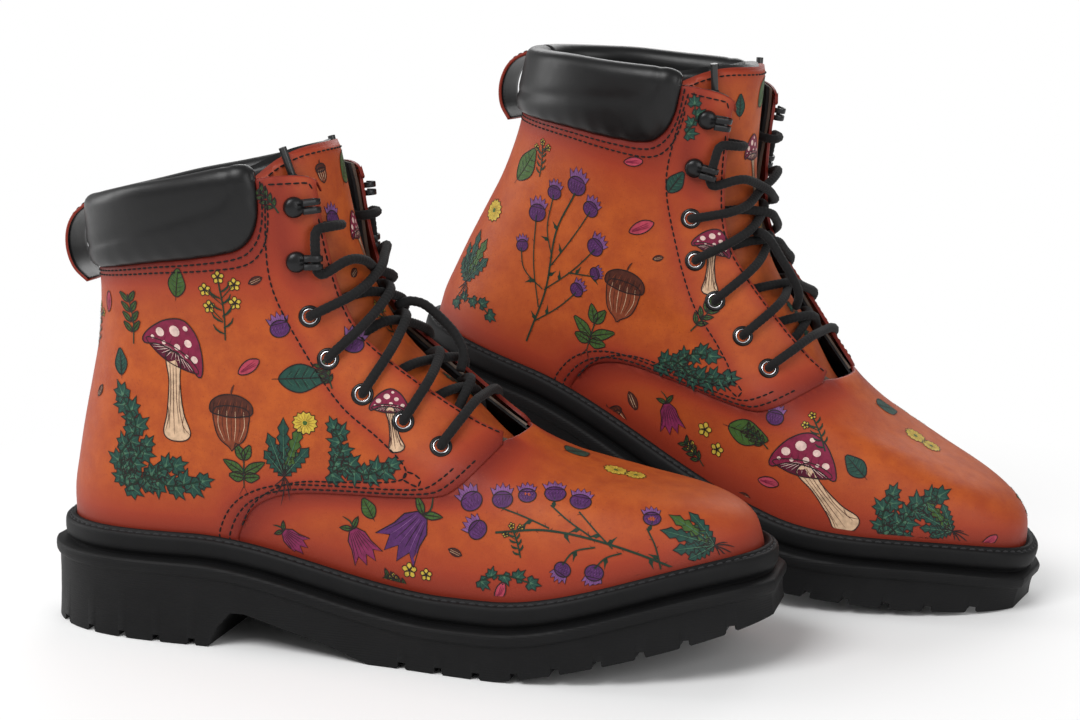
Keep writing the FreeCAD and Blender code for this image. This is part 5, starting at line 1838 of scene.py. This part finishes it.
# ------------------------------------------------------------------ print: where the plants go
# (motif, side-view place (x, z), turn in degrees, own arguments)
OUTER_PRINT = (
    (mushroom, (66.5, 114), 2, (30, -28)), (acorn, (92.5, 92), 0, (25,)), (leaf, (70, 138), 78, (12, 8)),
    (sprig, (91, 122), 4, (26,)), (petal, (96, 109), 32, (11,)), (leaf, (113, 108), 4, (20, 11, "teal")),
    (thistle_head, (113, 128), 16, (4.6,)), (dandelion_head, (124, 91.5), 0, (5.4,)),
    (dandelion, (115, 70), -6, (29,)), (sprout, (97.5, 68), 0, (17,)),
    (ivy, (45, 60), 0, (((0, 0), (-3, 12), (4, 24), (-3, 36)), 13, 8.6)),
    (ivy, (45, 60), 0, (((0, 4), (5, 12), (9, 17)), 6, 8.0)),
    (ivy, (46, 60), 0, (((0, 0), (10, 5), (19, 2), (33, 5)), 10, 8.4)),
    (ivy, (54, 62), 0, (((0, 0), (7, 6), (13, 8)), 5, 7.6)),
    (small_branch, (48, 117), 6, (20,)),
    (ivy, (134, 72), 0, (((0, 0), (7, 4), (15, 1), (25, 5)), 10, 7.6)),
    (ivy, (136, 76), 0, (((0, 0), (3, 7), (0, 14)), 6, 7.2)),
    (mushroom, (156.5, 97.5), 8, (15, -14)),
    (thistle_head, (140, 122), -20, (5.2,)), (small_branch, (134.5, 105), 28, (11,)),
    (small_branch, (113, 172), 40, (12,)), (seed, (104, 146), 25, (6,)),
    (leaf, (42, 104), 100, (11, 7, "teal")),
    (petal, (34, 128), 80, (9,)), (seed, (30, 96), 60, (6,)), (sprig, (26, 112), 0, (18, 3)),
    # the vamp
    (thistle_head, (191, 66), 34, (5.0,)), (thistle_head, (203, 67), 6, (4.6,)),
    (thistle_head, (222, 69), 0, (4.8,)),
    (thistle_head, (212, 68.5), 4, (4.0,)), (thistle_head, (232, 66.5), -12, (4.8,)),
    (thistle_head, (194, 55.5), 52, (4.6,)),
    (thistle_head, (240, 41), 170, (4.2,)), (thistle_head, (228, 42), 150, (3.8,)),
    (thistle_head, (259, 61), 0, (4.0,)),
    (thorn_stem, (240, 48), 0, (((-38, 8), (-18, 9), (6, 4), (34, -6), (40, -11)), 14, 0.85)),
    (thorn_stem, (212, 58), 0, (((10, -1), (0, 3), (-9, 6)), 4, 0.6)),
    (thorn_stem, (226, 58), 0, (((12, -4), (3, 2), (-4, 8)), 5, 0.6)),
    (thorn_stem, (236, 56), 0, (((10, -6), (4, 0), (-3, 8)), 4, 0.6)),
    (thorn_stem, (238, 48), 0, (((12, 1), (6, -1), (2, -5)), 3, 0.6)),
    (thorn_stem, (228, 50), 0, (((12, 1), (4, -1), (0, -6)), 3, 0.6)),
    (thorn_stem, (256, 51), 0, (((8, -9), (6, 0), (3, 7)), 5, 0.6)),
    (dandelion_head, (247, 69.5), 0, (5.2,)), (dandelion, (282, 50), 62, (27,)),
    (leaf, (219, 77.5), -28, (14, 10, "teal")),
    (bellflower, (166, 51), -38, (20,)), (bellflower, (147, 45), 30, (14, "bell")),
    (leaf, (152, 56), 120, (9, 6)),
    (flower, (167, 37), 0, (3.0,)), (flower, (174, 36), 0, (2.4,)), (flower, (160, 33), 0, (2.2,)),
    (small_branch, (168, 28), 66, (13,)), (petal, (203, 28), 70, (9,)),
    (bellflower, (118, 44), 52, (11, "bell")),
    (seed, (186, 46), -20, (6,)), (ivy, (196, 36), 0, (((0, 0), (9, 3), (20, 1)), 5, 5.6)),
    (petal, (252, 33), 18, (8,)), (sprig, (212, 46), 20, (13, 3)), (seed, (128, 35), 10, (6,)),
)
INNER_PRINT = (
    (thistle_plant, (68, 54), 0, (82,)), (leaf, (38, 118), 68, (18, 11)),
    (dandelion_head, (30, 100), 0, (6.2,)), (dandelion, (28, 66), 6, (30,)),
    (acorn, (106, 93), 4, (26,)), (petal, (101, 118), 38, (12,)), (sprout, (97, 66), 0, (20,)),
    (ivy, (131, 69), 0, (((0, 0), (8, 4), (18, 1), (32, 6)), 12, 8.0)),
    (ivy, (140, 73), 0, (((0, 0), (5, 6), (12, 8)), 5, 7.2)), (mushroom, (136, 122), 10, (17, -16)),
    (small_branch, (141, 88), -20, (16,)), (ivy, (50, 56), 0, (((-26, 0), (-14, 5), (-4, 2)), 5, 6.0)),
    (petal, (90, 146), 20, (9,)), (sprig, (50, 124), 10, (16, 3)),
    (ivy, (112, 166), 0, (((0, 0), (2, 7), (0, 13)), 4, 6.0)),
    (leaf, (112, 140), 70, (11, 7, "teal")), (seed, (117, 112), 30, (5,)),
    # the vamp
    (mushroom, (207, 52), 58, (29, -50)), (leaf, (170, 56), 4, (19, 11)), (sprig, (213, 62), 40, (17, 2)),
    (dandelion_head, (246, 71), 0, (6.0,)), (flower, (160, 50), 0, (3.2,)), (flower, (168, 44), 0, (3.0,)),
    (flower, (156, 40), 0, (2.6,)), (small_branch, (164, 34), 60, (14,)),
    (bellflower, (143, 48), 30, (13, "bell")),
    (seed, (124, 48), -50, (9,)), (ivy, (248, 34), 0, (((0, 0), (5, 9), (9, 17), (16, 24)), 11, 8.2)),
    (ivy, (248, 34), 0, (((0, 2), (-3, 10), (-2, 19)), 6, 7.6)),
    (ivy, (252, 34), 0, (((0, 0), (10, 3), (20, 2)), 5, 6.6)), (petal, (284, 42), 40, (9,)),
    (dandelion, (272, 48), 70, (22,)), (thistle_head, (188, 68), 10, (4.4,)), (petal, (190, 40), 10, (10,)),
    (small_branch, (190, 54), 70, (13,)),
    (acorn, (118, 36), 60, (14,)), (seed, (186, 30), 12, (7,)), (leaf, (232, 58), 150, (12, 8, "teal")),
)
TONGUE_PRINT = (
    (leaf, (0, 181), 40, (18, 11)), (mushroom, (2, 160), 12, (17, -10)), (sprig, (-9, 118), 10, (17, 3)),
    (petal, (8, 130), 40, (10,)), (thistle_head, (-14, 168), 0, (4.6,)),
    (leaf, (14, 176), 100, (10, 7, "teal")),
    (ivy, (6, 96), 0, (((0, 0), (3, 6), (0, 12)), 4, 6.0)), (seed, (-12, 146), 30, (6,)),
    (acorn, (-14, 186), 10, (9,)),
)


def draw(motif, angle, arguments):
    sheet = Sketch()
    motif(sheet.moved(0.0, 0.0, angle), *arguments)
    return sheet.parts


def lay_down(parts, turn, level, flip, height):
    """Lays a drawing on the boot round a place; gives its points and their normals."""
    centre = surface(level, turn)[0]
    out = outward(level, turn)[0]
    up = np.array((0.0, 0.0, 1.0)) - out * out[2]
    up /= np.linalg.norm(up)
    right = np.cross(up, out) * (-1 if flip else 1)
    by_turn = (surface(level, turn + 0.01) - surface(level, turn - 0.01))[0] * 50
    by_level = (surface(level + 0.005, turn) - surface(level - 0.005, turn))[0] * 100
    slopes = np.array([[by_turn @ right, by_level @ right], [by_turn @ up, by_level @ up]])
    flat_points = np.vstack([p[0] for p in parts])
    guesses = np.array((turn, level)) + flat_points @ np.linalg.inv(slopes).T
    targets = centre + flat_points[:, :1] * right + flat_points[:, 1:] * up
    found = press(targets, guesses, right, up)
    turns = found[:, 0]
    levels = np.clip(found[:, 1], 0.012, 1.11)
    rise = np.concatenate([np.full(len(p[0]), p[3]) for p in parts])
    points = skin(levels, turns, height + rise)
    return points, outward(levels, turns)


def print_piece(boot, name, jobs, body=None):
    coords = []
    normals = []
    faces = []
    indices = []
    base = 0
    for parts, turn, level, height in jobs:
        points, directions = lay_down(parts, turn, level, boot.mirrored, height)
        coords.append(points)
        normals.append(directions)
        start = base
        for part_points, part_faces, ink_name, _ in parts:
            ids = [tuple(start + k for k in f) for f in part_faces]
            faces += ids
            indices += [INK_NAMES.index(ink_name)] * len(ids)
            start += len(part_points)
        base = start
    coords = np.vstack(coords)
    normals = np.vstack(normals)
    faces = facing_out(coords, faces, normals)
    return boot.mesh(name, coords, faces, INK_MATERIALS, indices=indices, normals=normals, body=body,
                     slot="printed_leather")


def on_quarter(turn, level):
    """Whether a place is on the quarter rather than on the vamp."""
    place = flat([(turn if turn <= PI else 2 * PI - turn, level)])
    return bool(inside_polygon(place, QUARTER)[0])


def make_print(boot):
    jobs = []
    for side, table in ((1, OUTER_PRINT), (-1, INNER_PRINT)):
        for motif, place, angle, arguments in table:
            turn, level = locate([place], side)[0]
            height = QUARTER_HEIGHT if on_quarter(turn, level) else VAMP_HEIGHT
            jobs.append((draw(motif, angle, arguments), turn, level, height))
    print_piece(boot, "print", jobs)
    tongue_jobs = []
    for motif, (across, z), angle, arguments in TONGUE_PRINT:
        turns = np.full(60, PI + across / 36.0)
        levels = np.linspace(0.4, 1.1, 60)
        level = float(np.interp(z, skin(levels, turns, TONGUE_HEIGHT)[:, 2], levels))
        tongue_jobs.append((draw(motif, angle, arguments), turns[0], level, TONGUE_HEIGHT + 0.27))
    print_piece(boot, "tongue_print", tongue_jobs, body="tongue")


INK_MATERIALS = [ink(name, color) for name, color in INKS.items()]


# ------------------------------------------------------------------ the pair
def make_boot(side):
    boot = Boot(side)
    make_upper(boot)
    make_seams(boot)
    make_band(boot)
    make_tread(boot)
    make_collar(boot)
    make_tongue(boot)
    make_gussets(boot)
    make_lace(boot)
    make_hardware(boot)
    make_loop(boot)
    make_print(boot)
    finish_inside(boot)


for side_name in ("right", "left"):
    make_boot(side_name)
